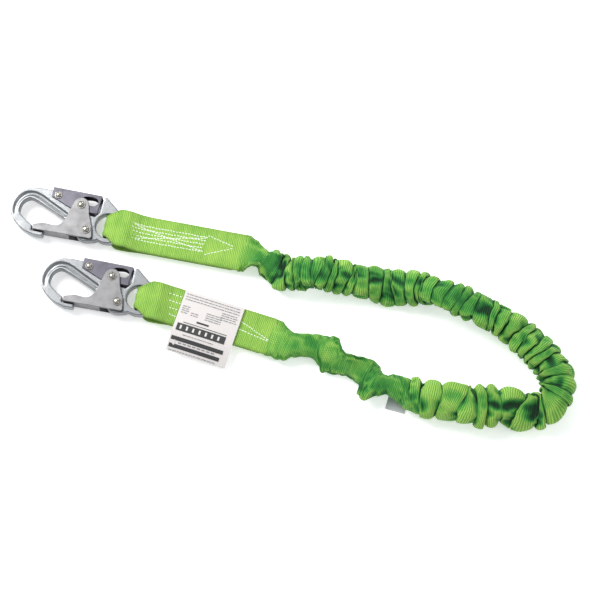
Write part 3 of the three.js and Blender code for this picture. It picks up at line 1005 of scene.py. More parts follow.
class LANYARD_OT_webbing_ends(bpy.types.Operator):
    """Lay the webbing through both eyes and back over itself"""

    bl_idname = "lanyard.webbing_ends"
    bl_label = "Webbing ends"

    def execute(self, context):
        for end in ENDS:
            obj = self.strap(end)
            obj.data.materials.append(material("Green_webbing"))
            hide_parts(f"{end}_eye_loop", f"{end}_sewn_end")
            bend_at_flex(obj, end)
        return {"FINISHED"}

    def strap(self, end):
        top, turn, bottom = loop_way(end)
        line = spline([(d, 0, z) for d, z in (*top, *turn, *bottom)], 14)
        steps = np.linalg.norm(np.diff(line, axis=0), axis=1)
        run = np.concatenate([[0], np.cumsum(steps)])
        total = run[-1]
        thick = sizes().web_thick
        section = self.section()
        rng = random.Random(3 if end == "anchor" else 8)
        phase = rng.uniform(0, 6.28)

        def middle(here):
            """Distance from the eye and height of the webbing's middle line."""
            here = min(max(here, 0), total)
            return float(np.interp(here, run, line[:, 0])), float(np.interp(here, run, line[:, 2]))

        def round_section(across):
            """Shares of the half width and half thickness, part of the way round the tube."""
            k = across * (len(section) - 1)
            j = min(int(k), len(section) - 2)
            return np.array(section[j]) * (1 - (k - j)) + np.array(section[j + 1]) * (k - j)

        def place(a, b):
            points = np.empty((len(a), 3))
            for i, (across, along) in enumerate(zip(a, b)):
                here = along * total
                d, z = middle(here)
                (far, high), (near, low) = middle(here + 0.0004), middle(here - 0.0004)
                way = Vector((far - near, 0, high - low)).normalized()
                y, n = round_section(across)
                # where the eye squeezes the webbing it ripples, and it is never quite even
                half = half_width_at(end, d, z)
                squeeze = 1 - half / (sizes().web_width / 2)
                ripple = squeeze * 0.0016 * math.cos(y * 7.5 + phase)
                soft = 0.00035 * noise.noise(Vector((d * 45, y * 2.2, z * 60 + phase)))
                point, heading = plan_at(end, d)
                side = Vector((-heading.y, heading.x, 0))
                normal = Vector((heading.x * way.z, heading.y * way.z, -way.x))
                lift = n * thick * 0.5 + ripple + soft
                made = point + side * (y * half) - normal * lift
                points[i] = (made.x, made.y, made.z + z)
            return points

        obj = surface(
            f"{end}_webbing_end", len(section) - 1, 300, place,
            (2 * sizes().web_width, total), around=True,
        )
        # u runs along the webbing
        set_uv(obj, get_uv(obj)[:, ::-1])
        edit(obj, close_ends)
        modify(obj, "SUBSURF", levels=1, render_levels=1)
        return smooth(obj)

    def section(self):
        """Flat tube: (share of half width, share of half thickness), round edges, closed."""
        top = [(-0.93, 0.9), (-0.8, 0.94), (-0.55, 1), (-0.28, 1.02), (0, 1.03), (0.28, 1.02),
               (0.55, 1), (0.8, 0.94), (0.93, 0.9)]
        right = [(0.975, 0.62), (0.992, 0.0), (0.975, -0.62)]
        bottom = [(y, -n) for y, n in reversed(top)]
        left = [(-y, -n) for y, n in right]
        return [*top, *right, *bottom, *left, top[0]]


def close_ends():
    """Fills the open ends of a tube and turns its faces outwards."""
    bpy.ops.mesh.select_all(action="DESELECT")
    bpy.ops.mesh.select_mode(type="EDGE")
    bpy.ops.mesh.select_non_manifold()
    bpy.ops.mesh.edge_face_add()
    bpy.ops.mesh.select_all(action="SELECT")
    bpy.ops.mesh.normals_make_consistent(inside=False)


def bend_at_flex(obj, end):
    """Clears the piece's parent and bakes its place into its mesh."""
    obj.parent = None
    reach = sewn_direction(end) * 0.009
    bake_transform(obj)


# ------------------------------------------------------------------ stitching


def stitch_rows(end):
    """Rows of stitches: lists of (distance from the eye, share of half width)."""
    if end == "anchor":
        first, last = 0.0255, 0.1200
        rows = [[(first + 0.002 * i, y), (last - 0.0015 * i, y + 0.02)]
                for i, y in enumerate((0.42, 0.22, 0.02, -0.18, -0.38))]
        rows.append([(0.030, 0.40), (0.118, -0.36)])
        rows.append([(0.030, -0.36), (0.118, 0.40)])
        rows.append([(0.119, 0.56), (0.1515, 0.22)])
        rows.append([(0.119, -0.50), (0.1515, 0.12)])
    else:
        rows = [[(0.032 + 0.002 * i, y), (0.060, y)] for i, y in enumerate((0.55, 0.2, -0.15, -0.5))]
        rows += [[(0.060, y), (0.112, y)] for y in (0.55, 0.2, -0.15, -0.5)]
        rows.append([(0.119, 0.32), (0.161, -0.24)])
        rows.append([(0.119, -0.12), (0.161, -0.30)])
        rows += [[(0.1155, y), (0.1235, y - 0.04)] for y in (0.78, 0.52, 0.1, -0.4, -0.72)]
    return rows


class LANYARD_OT_stitching(bpy.types.Operator):
    """Sew the webbing ends"""

    bl_idname = "lanyard.stitching"
    bl_label = "Stitching"

    def execute(self, context):
        for end in ENDS:
            stitches = self.sew(end)
            stitches.data.materials.append(material("White_thread"))
            bend_at_flex(stitches, end)
        return {"FINISHED"}

    def sew(self, end):
        s = sizes()
        deselect()
        bpy.ops.mesh.primitive_cylinder_add(vertices=8, radius=1, depth=2)
        stitch = named(f"{end}_stitching")

        def swell():
            pick(stitch, "FACE", lambda face: abs(face.normal.z) > 0.5)
            bpy.ops.mesh.inset(thickness=0.35)
            bpy.ops.transform.resize(value=(1, 1, 1.3))

        edit(stitch, swell)
        half_long, half_wide, half_high = s.stitch_length / 2.6, 0.00062, 0.00042
        set_points(stitch, [
            (x * half_wide, y * half_high - 0.00035 * (z / 1.3) ** 2, z * half_long / 1.3)
            for x, y, z in get_points(stitch)
        ])
        rng = random.Random(5)
        places = []
        top = flex_point(end).z + s.web_thick
        for row in stitch_rows(end):
            (d0, y0), (d1, y1) = row
            full = s.web_width / 2
            run = math.hypot(d1 - d0, (y1 - y0) * full)
            count = int(run / s.stitch_length)
            for i in range(count):
                t = (i + 0.5 + rng.uniform(-0.06, 0.06)) / count
                d, y = d0 + (d1 - d0) * t, (y0 + (y1 - y0) * t) * full
                y += rng.uniform(-0.0003, 0.0003)
                middle, heading = plan_at(end, d)
                side = Vector((-heading.y, heading.x, 0))
                lift = top + strap_rise(end, d) + 0.00012
                way = (heading * (d1 - d0) + side * (y1 - y0) * full).normalized()
                way = (way + side * rng.uniform(-0.12, 0.12)).normalized()
                over = Vector((-way.y, way.x, 0))
                way.z = strap_slope(end, d) * way.dot(heading)
                spot = middle + side * y
                turn = Matrix((over, Vector((0, 0, 1)), way)).transposed().to_4x4()
                places.append(Matrix.Translation((spot.x, spot.y, lift)) @ turn)
        made = repeat(stitch, places, f"{end}_stitching")
        edit(made, lambda: bpy.ops.mesh.normals_make_consistent(inside=False))
        return smooth(made)


def strap_rise(end, distance):
    """How far the top of the webbing stands above its level in the sewn part."""
    top, _, _ = loop_way(end)
    line = spline([(d, 0, z) for d, z in top], 8)[::-1]
    level = flex_point(end).z + sizes().web_thick / 2
    return float(np.interp(distance, line[:, 0], line[:, 2])) - level


def strap_slope(end, distance):
    return (strap_rise(end, distance + 0.001) - strap_rise(end, distance - 0.001)) / 0.002


# ------------------------------------------------------------------ the gathered sleeve

# The webbing's way on the floor, in millimetres, from the anchor's sewn end to the harness's
ROUTE = [
    (-65, 72), (-51, 69), (-38, 61.5), (-24, 51.5), (-10, 43.5), (5, 40.6), (24, 40.2),
    (44, 40.4), (58, 38.2), (73, 34.4), (88, 32.2), (102, 29.6), (116, 27.2), (131, 25.8),
    (145, 24.4), (159, 20.8), (173, 16.4), (187, 10.2), (201, 3.2), (215, -3.6), (229, -9.6),
    (243, -17.6), (257, -27.8), (271, -40.6), (283.5, -51.5), (292, -61.5), (298, -71.5),
    (302.5, -82), (304.5, -93), (302.5, -105), (296, -115.5), (284, -122.5), (267, -125),
    (251, -121), (237, -118), (222, -119), (208, -121), (195, -118.5), (180, -115),
    (163, -112), (148, -109), (133, -105), (114, -99.5), (97, -92), (84, -82), (70, -73),
    (55, -66), (38, -58), (19, -50.5), (-1, -44), (-16, -37.8), (-29.3, -33),
]
ROUTE_CENTRE = (-5.689, 3.315)

# The sleeve's shape, by distance from an end in mm: (distance, half width, half height,
# height of its middle, roll in degrees, how far its middle lies to the left of the route)
ANCHOR_SHAPE = [
    (0, 23.5, 3.3, 9.5, 0, 0), (8, 23.5, 3.8, 11, 3, 0), (14, 22.8, 4, 13.5, -10, 0),
    (22, 20.5, 4, 16, -38, 0), (30, 18.5, 4.2, 16.5, -44, 0), (38, 22.5, 4.4, 16, -10, 0),
    (46, 23, 5, 15.5, 22, 0), (55, 21, 7.5, 15.5, 20, 0), (66, 19.5, 11, 15.5, 6, 0),
    (80, 19.3, 13, 15.5, 0, 0), (330, 19.3, 13, 15.5, 0, 0), (420, 20.5, 13.5, 15.8, 0, 0),
]
HARNESS_SHAPE = [
    (0, 23.5, 3.6, 9.5, 0, 0), (8, 23.2, 4.2, 10.5, 0, 0), (16, 21.6, 5, 11.5, 2, 3),
    (25, 19.3, 5.8, 12.3, 4, 3.5), (34, 16.2, 7, 12.6, 5, -1), (42, 14.6, 7.6, 12.8, 6, -4),
    (56, 14.8, 7.6, 13, 2, -7), (64, 18.8, 6.4, 13.5, -6, -5), (71, 24, 5.6, 14.5, -14, -2.5),
    (78, 23, 5.2, 15.5, -22, -3.5), (84, 18.5, 4.8, 16.2, -38, 1.5),
    (94, 17.8, 4.8, 16.5, -52, 0.5), (103, 16.5, 5, 16.5, -46, -1.5), (112, 16, 6, 16, -20, -2),
    (120, 17.5, 7.5, 15.5, 0, -3.5), (128, 22.8, 8.5, 15, 12, 3), (137, 21.5, 8.5, 15, 12, 6),
    (145, 14.6, 8, 15, 8, 0), (153, 12.8, 8.5, 15, 4, -6), (161, 14.2, 9, 15, 2, -5.5),
    (169, 15.6, 10, 15.5, 0, -4), (177, 17.6, 11, 15.5, 0, -1), (205, 20.5, 13, 15.5, 0, 0),
    (235, 21.5, 13.5, 15.8, 0, 0), (270, 22, 13.8, 15.8, 0, 0), (310, 19.8, 13.5, 15.8, 0, 0),
]
# The webbing as a cloth, at ten times its size so that the solver's limits don't bind
SETTLE_SCALE = 10.0
SETTLE_FRAMES = 12
CLOTH = {
    "quality": 5, "mass": 0.25, "air_damping": 3.0,
    "tension_stiffness": 18, "compression_stiffness": 18, "shear_stiffness": 6,
    "bending_stiffness": 1.2, "tension_damping": 8, "compression_damping": 8,
    "shear_damping": 8, "bending_damping": 1.5, "shrink_min": -0.075, "shrink_max": -0.03,
    "vertex_group_shrink": "slack", "vertex_group_mass": "held", "pin_stiffness": 1.0,
}
CLOTH_CONTACT = {
    "use_self_collision": True, "self_distance_min": 0.008, "distance_min": 0.004,
    "collision_quality": 2,
}

SPLIT = (299.5, -75.0)  # the route's point where the two halves meet, in the bend
FIRST_FOLD, LAST_FOLD = 56.0, 186.0  # from the anchor's and from the harness's end
HEIGHT_KEPT, HEIGHT_SOFT = 0.032, 0.012  # folds above the first are pressed down


def route_line():
    shift = Vector((-ROUTE_CENTRE[0], -ROUTE_CENTRE[1], 0))
    return spline([(Vector((x, y, 0)) + shift) * MM for x, y in ROUTE], 24)


def route_lengths(line):
    return np.concatenate([[0], np.cumsum(np.linalg.norm(np.diff(line, axis=0), axis=1))])


def ease(points, x):
    """Smooth values between rows of (position, value, ...)."""
    table = np.array(points, float)
    x = np.clip(x, table[0, 0], table[-1, 0])
    k = np.clip(np.searchsorted(table[:, 0], x, side="right") - 1, 0, len(table) - 2)
    t = (x - table[k, 0]) / (table[k + 1, 0] - table[k, 0])
    t = (t * t * (3 - 2 * t))[:, None]
    return table[k, 1:] * (1 - t) + table[k + 1, 1:] * t


def sleeve_shape(here, total):
    """Half width, half height, height, roll and side offset, at positions in millimetres."""
    t = np.clip((here - 400) / 120, 0, 1)[:, None]
    return ease(ANCHOR_SHAPE, here) * (1 - t) + ease(HARNESS_SHAPE, total - here) * t


def fold_list(total, split, seed):
    """The valleys between the folds, from plain webbing to plain webbing, in millimetres.

    Each is (position, depth, lean, sway, turn, partial).
    """
    rng = random.Random(seed)
    valleys, here = [], 0.0
    while here < total:
        gathered = FIRST_FOLD < here < total - LAST_FOLD
        if gathered:
            # the folds grow wider and deeper towards the harness
            step = float(np.interp(here, [56, 330, 460, 640, total], [10.5, 12, 12.5, 21, 25]))
            step *= rng.choice((0.7, 0.8, 0.95, 1.05, 1.2, 1.5))
            depth = float(np.interp(here, [56, 460, 640, total], [5.4, 5.8, 7.4, 7]))
            depth *= rng.uniform(0.7, 1.15)
        else:
            step, depth = 11.0, 0.0
        late = float(np.interp(here, [400, 640], [1, 1.7]))
        valleys.append([here, depth, rng.uniform(-3, 3) * late, rng.uniform(0.3, 2.0) * late,
                        rng.uniform(0, 2 * math.pi), rng.random() < 0.4])
        here += step
    valleys[-1][0] = total
    nearest = min(range(len(valleys)), key=lambda i: abs(valleys[i][0] - split))
    valleys[nearest] = [split, 6.0, 0.0, 0.0, 0.0, False]
    return valleys, nearest


class LANYARD_OT_sleeve(bpy.types.Operator):
    """Gather the tubular webbing over its core"""

    bl_idname = "lanyard.sleeve"
    bl_label = "Gathered sleeve"

    rows_per_fold = 9
    around = 40

    def execute(self, context):
        line = route_line()
        lengths = route_lengths(line)
        split = split_length(line, lengths)
        obj, split_u = self.tube(line, lengths, split)
        self.settle(obj, context)
        modify(obj, "SUBSURF", levels=1, render_levels=1)
        smooth(obj)
        # painted shade in the folds and painted highlight on their crests, kept in the fold
        # attribute
        paint_fold_shade(obj)
        obj.data.materials.append(material("Gathered_webbing"))
        for half, low, high, name in zip(
            self.halves(obj, split_u), (0, split), (split, lengths[-1]), ENDS
        ):
            half.name = half.data.name = f"{name}_half_sleeve"
            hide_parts("gathered_sleeve")
            self.declare(half, line, lengths, low, high)
        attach(bpy.data.objects["anchor_half_sleeve"], "lanyard")
        stretch(bpy.data.objects["harness_half_sleeve"])
        return {"FINISHED"}

    def tube(self, line, lengths, split):
        total = lengths[-1] / MM
        valleys, nearest = fold_list(total, split / MM, sizes().sleeve_seed)
        table = np.array([v[:5] for v in valleys])
        partial = np.array([v[5] for v in valleys], bool)
        rows = self.rows_per_fold * (len(valleys) - 1)

        def valley(i, angle):
            """Where a valley runs and how deep it is, round the sleeve."""
            position, depth, lean, sway, turn = table[i].T
            free = depth > 0
            place = position + free * (lean * np.cos(angle) + sway * np.sin(2 * angle + turn))
            share = np.where(partial[i], np.clip(0.45 + 0.9 * np.sin(angle + turn), 0.0, 1.1),
                             0.9 + 0.2 * np.sin(2 * angle + turn))
            return place, depth * share

        def place(a, b):
            fold = np.clip(np.round(b * rows), 0, rows) / self.rows_per_fold
            i = np.minimum(fold.astype(int), len(valleys) - 2)
            t = fold - i
            angle = 2 * math.pi * a
            near, near_depth = valley(i, angle)
            far, far_depth = valley(i + 1, angle)
            # rows crowd into the deep valleys, and each fold stands up between two of them
            curl = 0.95 * np.minimum(np.maximum(near_depth, far_depth) / 5, 1)
            glide = t - curl * np.sin(2 * math.pi * t) / (2 * math.pi)
            here = near * (1 - glide) + far * glide
            pinch = (near_depth * np.maximum(np.cos(math.pi * t), 0) ** 2.2
                     + far_depth * np.maximum(-np.cos(math.pi * t), 0) ** 2.2)
            gathered = np.minimum((near_depth + far_depth) / 8, 1)
            loose = np.array([
                noise.noise(Vector((h * 0.045, 1.3 * math.cos(w), 1.3 * math.sin(w))))
                + 0.5 * noise.noise(Vector((h * 0.16, 2.2 * math.cos(w), 2.2 * math.sin(w))))
                for h, w in zip(here, angle)
            ])
            half_wide, half_high, middle, roll, aside = sleeve_shape(here, total).T
            swell = 2.4 * gathered - pinch + (0.8 + 1.6 * gathered) * loose
            # the section is round where it is high and squarer where it is flat
            x, y = np.cos(angle), np.sin(angle)
            flat = np.clip(1.4 - half_high / 9, 0, 1)
            px = np.maximum(half_wide + swell, 4) * np.sign(x) * np.abs(x) ** (1 - 0.3 * flat)
            high = np.maximum(half_high + swell * (0.5 + 0.5 * gathered), 2.0)
            py = high * np.sign(y) * np.abs(y) ** (1 - 0.1 * flat)
            tilt = np.radians(roll)
            u = px * np.cos(tilt) - py * np.sin(tilt) + aside
            v = px * np.sin(tilt) + py * np.cos(tilt)
            # the floor presses on it from below, and high folds settle
            centre, side = along_route(line, lengths, here * MM)
            height = np.maximum(middle + v, 0.5 + 0.03 * (middle + v))
            height = np.minimum(height, 31 + 0.35 * (height - 31).clip(0))
            return np.column_stack([
                centre[:, 0] + side[:, 0] * u * MM, centre[:, 1] + side[:, 1] * u * MM, height * MM
            ])

        obj = surface("gathered_webbing", self.around, rows, place, (1, 1))
        # the map follows the cloth itself, so the ribs keep their spacing over the folds
        points = get_points(obj).reshape(rows + 1, self.around + 1, 3)
        steps = np.linalg.norm(np.diff(points, axis=0), axis=2).mean(1)
        developed = np.concatenate([[0], np.cumsum(steps)])
        across, along = get_uv(obj).T
        set_uv(obj, np.column_stack([
            np.interp(along * rows, np.arange(rows + 1), developed),
            across * 2 * sizes().web_width,
        ]))
        edit(obj, lambda: bpy.ops.mesh.remove_doubles(threshold=1e-7),
             lambda: bpy.ops.mesh.normals_make_consistent(inside=False))
        return obj, float(developed[nearest * self.rows_per_fold])

    def settle(self, obj, context):
        """The webbing is a little longer than its gathered form, so the cloth buckles and sags."""
        set_points(obj, get_points(obj) * SETTLE_SCALE)
        start = get_points(obj) / SETTLE_SCALE
        line = route_line()[::3]
        stations = route_lengths(line) / MM
        near = [int(np.argmin(((line[:, :2] - p) ** 2).sum(1))) for p in start[:, :2]]
        here = stations[near]
        self.hold(obj, here, stations)
        self.drape(obj, context)
        settled = get_points(obj) / SETTLE_SCALE
        settled[:, :2] -= self.drift(here, settled[:, :2] - start[:, :2])
        over = np.maximum(settled[:, 2] - HEIGHT_KEPT, 0)
        settled[:, 2] -= over - over / (1 + over / HEIGHT_SOFT)
        set_points(obj, settled)

    def hold(self, obj, here, stations):
        """The plain parts keep their lie, and the folds are only kept from wandering."""
        to_end = np.minimum(here - FIRST_FOLD, stations[-1] - LAST_FOLD - here)
        from_sewn = np.minimum(here, stations[-1] - here)
        plain = np.clip(0.5 - to_end / 24, 0, 1)
        keep = 0.11 + 0.16 * plain
        keep[from_sewn < 3.0] = 1.0
        held = obj.vertex_groups.new(name="held")
        slack = obj.vertex_groups.new(name="slack")
        for index, (weight, share) in enumerate(zip(keep.tolist(), plain.tolist())):
            held.add([index], weight, "REPLACE")
            slack.add([index], share, "REPLACE")

    def drape(self, obj, context):
        deselect()
        bpy.ops.mesh.primitive_plane_add(size=20, location=(0, 0, -0.003))
        ground = named("settling_floor")
        ground.modifiers.new("Collision", "COLLISION")
        ground.collision.thickness_outer = 0.004

        cloth = obj.modifiers.new("Cloth", "CLOTH")
        for target, values in ((cloth.settings, CLOTH), (cloth.collision_settings, CLOTH_CONTACT)):
            for key, value in values.items():
                setattr(target, key, value)
        cloth.settings.effector_weights.gravity = 0.15
        for holder in (cloth.point_cache, context.scene):
            holder.frame_start, holder.frame_end = 1, SETTLE_FRAMES
        for number in range(1, SETTLE_FRAMES + 1):
            context.scene.frame_set(number)
        take(obj)
        bpy.ops.object.modifier_apply(modifier=cloth.name)
        context.scene.frame_set(1)
        bpy.data.objects.remove(ground)
        obj.vertex_groups.clear()

    def drift(self, here, moved):
        """How far whole lengths of the sleeve moved sideways, so that it keeps to its route."""
        step, reach = 4.0, 9.0
        places = np.arange(0, here.max() + step, step)
        shift = []
        for place in places:
            weight = np.exp(-((here - place) / reach) ** 2)
            shift.append((moved * weight[:, None]).sum(0) / weight.sum())
        shift = np.array(shift)
        return np.column_stack([np.interp(here, places, shift[:, k]) for k in (0, 1)])

    def halves(self, obj, split_u):
        """Parts the sleeve at the valley in the bend; both halves keep that edge."""
        along = get_uv(obj)[:, 0]
        past = {face.index for face in obj.data.polygons
                if along[face.loop_indices].mean() > split_u}
        edit(obj, lambda: pick(obj, "FACE", lambda face: face.index in past),
             lambda: bpy.ops.mesh.separate(type="SELECTED"))
        other = next(o for o in bpy.context.selected_objects if o is not obj)
        for half in (obj, other):
            edit(half, close_ends)
        return obj, other

    def declare(self, obj, line, lengths, low, high):
        inside = lengths[(lengths > low) & (lengths < high)][::5]
        stations = np.array([low, *inside, high])
        middle, _ = along_route(line, lengths, stations)


def split_length(line, lengths):
    """How far along the route the two halves meet."""
    shift = np.array(ROUTE_CENTRE)
    target = (np.array(SPLIT) - shift) * MM
    return float(lengths[np.argmin(np.linalg.norm(line[:, :2] - target, axis=1))])


def along_route(line, lengths, stations):
    """Points of the route and the directions to their left."""
    def at(where):
        where = np.clip(where, 0, lengths[-1])
        return np.column_stack([np.interp(where, lengths, line[:, k]) for k in (0, 1)])

    way = at(stations + 0.005) - at(stations - 0.005)
    way /= np.linalg.norm(way, axis=1)[:, None]
    return at(stations), np.column_stack([-way[:, 1], way[:, 0]])


def stretch(obj):
    """Clears the parent of the half towards the harness and bakes its place into its mesh."""
    line = route_line()
    split = split_length(line, route_lengths(line))
    start, _ = along_route(line, route_lengths(line), np.array([split]))
    obj.parent = None
    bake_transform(obj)


# What small and broad hollows count in the painted shade and highlight on the folds, by turns of
# smoothing
FOLD_SHADE_SCALES = {30: 0.5, 90: 1.0}


NECKS = (0.078, 0.165)  # how far the loose necks reach from the anchor's and the harness's end


def ranked(values):
    """The values' places in their order, from 0 to 1."""
    order = np.empty(len(values))
    order[np.argsort(values, kind="stable")] = np.linspace(0, 1, len(values))
    return order


def heights(obj):
    """How far each point lies above its surroundings, which are smoothed again and again."""
    points = get_points(obj)
    edges = np.empty(len(obj.data.edges) * 2, np.int32)
    obj.data.edges.foreach_get("vertices", edges)
    edges = edges.reshape(-1, 2)
    normals = np.empty(len(points) * 3, np.float32)
    obj.data.vertices.foreach_get("normal", normals)
    normals = normals.reshape(-1, 3)
    ends = np.concatenate([edges[:, 0], edges[:, 1]])
    others = np.concatenate([edges[:, 1], edges[:, 0]])
    count = np.maximum(np.bincount(ends, minlength=len(points)), 1)
    spread, height = points.copy(), 0.0
    for turn in range(1, max(FOLD_SHADE_SCALES) + 1):
        spread = np.column_stack([
            np.bincount(ends, spread[others, k], len(points)) / count for k in range(3)
        ])
        if turn in FOLD_SHADE_SCALES:
            height = height + ((points - spread) * normals).sum(1) * FOLD_SHADE_SCALES[turn]
    return height


def paint_fold_shade(obj):
    """0 deep in a fold and 1 on a crest, for the painted shade in the folds and the painted
    highlight on the crests; the plain webbing at the sewn ends keeps its own tone.
    """
    height = heights(obj)
    along = np.zeros(len(height))
    for loop, u in zip(obj.data.loops, get_uv(obj)[:, 0].tolist()):
        along[loop.vertex_index] = u
    left = along.max() - along
    to_end = np.minimum(along, left)
    neck = np.clip(1.5 - np.minimum(along / NECKS[0], left / NECKS[1]) * 1.5, 0, 1)
    neck = np.minimum(neck * 2, 1)
    loose = neck > 0.5
    rank = ranked(height)
    smooth_rank = rank.copy()
    smooth_rank[loose] = 0.42 + 0.54 * ranked(height[loose])
    rank = rank * (1 - neck) + smooth_rank * neck
    # the broad folds towards the harness lie flatter and catch more light, so they are painted
    # lighter
    broad = np.clip((along / along.max() - 0.58) / 0.15, 0, 1)
    rank = rank + 0.15 * broad * (1 - neck) * np.minimum(rank * 10, 1)
    plain = np.clip(1 - (to_end - 0.004) / 0.03, 0, 1)
    point_values(obj, "fold", rank * (1 - plain) + np.maximum(rank, 0.93) * plain)


class LANYARD_OT_core(bpy.types.Operator):
    """Lay the stretching core inside the sleeve"""

    bl_idname = "lanyard.core"
    bl_label = "Stretching core"

    def execute(self, context):
        line = route_line()
        lengths = route_lengths(line)
        split = split_length(line, lengths)
        for name, low, high in (("anchor", 0.058, split), ("harness", split, lengths[-1] - 0.03)):
            sleeve = get_points(bpy.data.objects[f"{name}_half_sleeve"])
            core = self.strand(f"{name}_half_core", line, lengths, low, high, sleeve)
            core.data.materials.append(material("Core_elastic"))
            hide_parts("stretch_core")
            if name == "anchor":
                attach(core, "lanyard")
            else:
                stretch(core)
        return {"FINISHED"}

    def strand(self, name, line, lengths, low, high, sleeve):
        """A flat band down the middle of the settled sleeve."""
        stations = np.linspace(low, high, 120)
        centre, side = along_route(line, lengths, stations)
        middles = []
        for at, left in zip(centre, side):
            apart = sleeve[:, :2] - at
            ahead = apart @ np.array([left[1], -left[0]])
            weight = np.exp(-(ahead / 0.004) ** 2) * (np.hypot(*apart.T) < 0.035)
            middles.append((sleeve * weight[:, None]).sum(0) / weight.sum())
        middles = np.array(middles)

        def place(a, b):
            station = low + b * (high - low)
            angle = 2 * math.pi * a
            half_high = sleeve_shape(station / MM, lengths[-1] / MM)[:, 1]
            wide = np.clip(half_high - 3.5, 1.4, 6.0)
            deep = np.clip(0.6 * (half_high - 3.5), 0.7, 3.0)
            _, left = along_route(line, lengths, station)
            x, y, z = (np.interp(station, stations, middles[:, k]) for k in range(3))
            u = wide * np.cos(angle) * MM
            return np.column_stack([x + left[:, 0] * u, y + left[:, 1] * u,
                                    z + deep * np.sin(angle) * MM])

        obj = surface(name, 20, 160, place, (0.04, high - low), around=True)
        edit(obj, close_ends)
        return smooth(obj)


# ------------------------------------------------------------------ label and tag


def label_frame():
    """Corner and directions of the label: along the webbing and down past its edge."""
    along = sewn_direction("harness")
    down = Vector((along.y, -along.x, 0))
    flex = flex_point("harness")
    corner = flex + along * 0.010 - down * (sizes().web_width / 2 - 0.001)
    return corner, along, down


def label_height(y, x=0.0):
    """Height of the label's face at a distance down from its top edge."""
    top = flex_point("harness").z + sizes().web_thick + 0.0022
    over = max(y - 0.048, 0)
    curl = 0.0012 * math.sin(x * 42 + 0.6) * min(y / 0.05, 1)
    return top - 0.0072 * min(over / 0.03, 1) ** 1.4 + curl


def on_label(across, deep, lift):
    """Points of the label at distances from its corner, in metres."""
    corner, along, down = label_frame()
    points = []
    for x, y in zip(across, deep):
        at = corner + along * x + down * y
        points.append((at.x, at.y, label_height(y, x) + lift))
    return points


LABEL_WIDE, LABEL_DEEP = 0.0735, 0.0755


class LANYARD_OT_label(bpy.types.Operator):
    """Print and sew on the label"""

    bl_idname = "lanyard.label"
    bl_label = "Label"

    def execute(self, context):
        for name, node, lift, inset in (
            ("label_page_sheet", "label_page", -0.0006, 0.0018),
            ("label_cover_sheet", "label_cover", 0.0007, 0.0),
        ):
            flat = (LABEL_WIDE - 2 * inset, LABEL_DEEP - inset)
            sheet = self.sheet(name, lift, inset, flat)
            sheet.data.materials.append(material("Label_sheet"))
            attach(sheet, "harness_end")
            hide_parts(node)
        self.prints()
        return {"FINISHED"}

    def sheet(self, name, lift, inset, flat):
        def place(a, b):
            return on_label(inset + a * flat[0], inset + b * flat[1], lift)

        sheet = surface(name, 24, 26, place, flat)
        modify(sheet, "SOLIDIFY", thickness=0.0004, offset=1.0)
        edit(sheet, normals_out)
        return crisp(sheet, 50)

    def prints(self):
        """Broken grey lines, dark blocks and an arrow: nothing that can be read."""
        rng = random.Random(21)
        grey, black, white = [], [], []

        def broken_lines(x0, x1, y0, rows, step=0.0027):
            for row in range(rows):
                x = x0
                while x < x1 - 0.001:
                    run = min(rng.uniform(0.0015, 0.006), x1 - x)
                    grey.append((x, y0 + row * step, run, 0.0008))
                    x += run + 0.0009

        broken_lines(0.003, 0.070, 0.0035, 3, 0.0033)
        broken_lines(0.050, 0.070, 0.0138, 4)
        broken_lines(0.003, 0.012, 0.0190, 4)
        broken_lines(0.015, 0.024, 0.0250, 2)
        broken_lines(0.033, 0.052, 0.0200, 4)
        broken_lines(0.014, 0.052, 0.0535, 1)
        broken_lines(0.003, 0.062, 0.0735, 1)
        # (across, down, width, depth) of each mark, in metres
        black += [(0.025, 0.0335, 0.015, 0.0021), (0.010, 0.0385, 0.054, 0.0007),
                  (0.004, 0.0410, 0.060, 0.0092),
                  (0.002, 0.0575, 0.064, 0.0046), (0.002, 0.0665, 0.062, 0.0044)]
        white += [(0.008 + 0.0078 * i, 0.0432, 0.0022, 0.0048) for i in range(7)]
        white += [(0.0030 + 0.0012 * i, 0.0643 - 0.0008 * i, 0.0014, 0.0013 + 0.0016 * i)
                  for i in range(4)]
        grey += [(0.012 + 0.0058 * i, 0.0635, 0.0040, 0.0012) for i in range(8)]
        self.ink("label_lines", grey, material("Grey_print"), 0.0011)
        self.ink("label_blocks", black, material("Black_print"), 0.0011)
        self.ink("label_arrow", white, material("Label_sheet"), 0.00125)

    def ink(self, name, marks, finish, lift):
        deselect()
        bpy.ops.mesh.primitive_grid_add(x_subdivisions=4, y_subdivisions=2, size=1)
        mark = named("printed_mark")
        places = [
            Matrix.Translation((x + wide / 2, y + deep / 2, 0)) @ Matrix.Diagonal((wide, deep, 1, 1))
            for x, y, wide, deep in marks
        ]
        obj = repeat(mark, places, name)
        x, y, _ = get_points(obj).T
        set_points(obj, on_label(x, y, lift))
        modify(obj, "SOLIDIFY", thickness=0.00012, offset=0)
        edit(obj, normals_out)
        obj.data.materials.append(finish)
        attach(obj, "harness_end")


class LANYARD_OT_tag(bpy.types.Operator):
    """Cut the small grey tag that shows under the webbing"""

    bl_idname = "lanyard.tag"
    bl_label = "Tag"

    def execute(self, context):
        low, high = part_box("inspection_tag")
        middle = (low + high) / 2
        deselect()
        bpy.ops.mesh.primitive_cube_add(size=1)
        tag = named("webbing_tag")
        tag.scale = (0.0236, 0.0176, 0.0007)
        tag.rotation_euler = (0, 0, math.radians(-16))
        tag.location = (middle.x - 0.001, middle.y + 0.0135, middle.z)
        bpy.ops.object.transform_apply(location=True, rotation=True, scale=True)
        crisp(round_edges(tag, 0.0002, 2, 30))
        tag.data.materials.append(material("Grey_tag"))
        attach(tag, "lanyard")
        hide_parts("inspection_tag")
        return {"FINISHED"}


# ------------------------------------------------------------------ stage


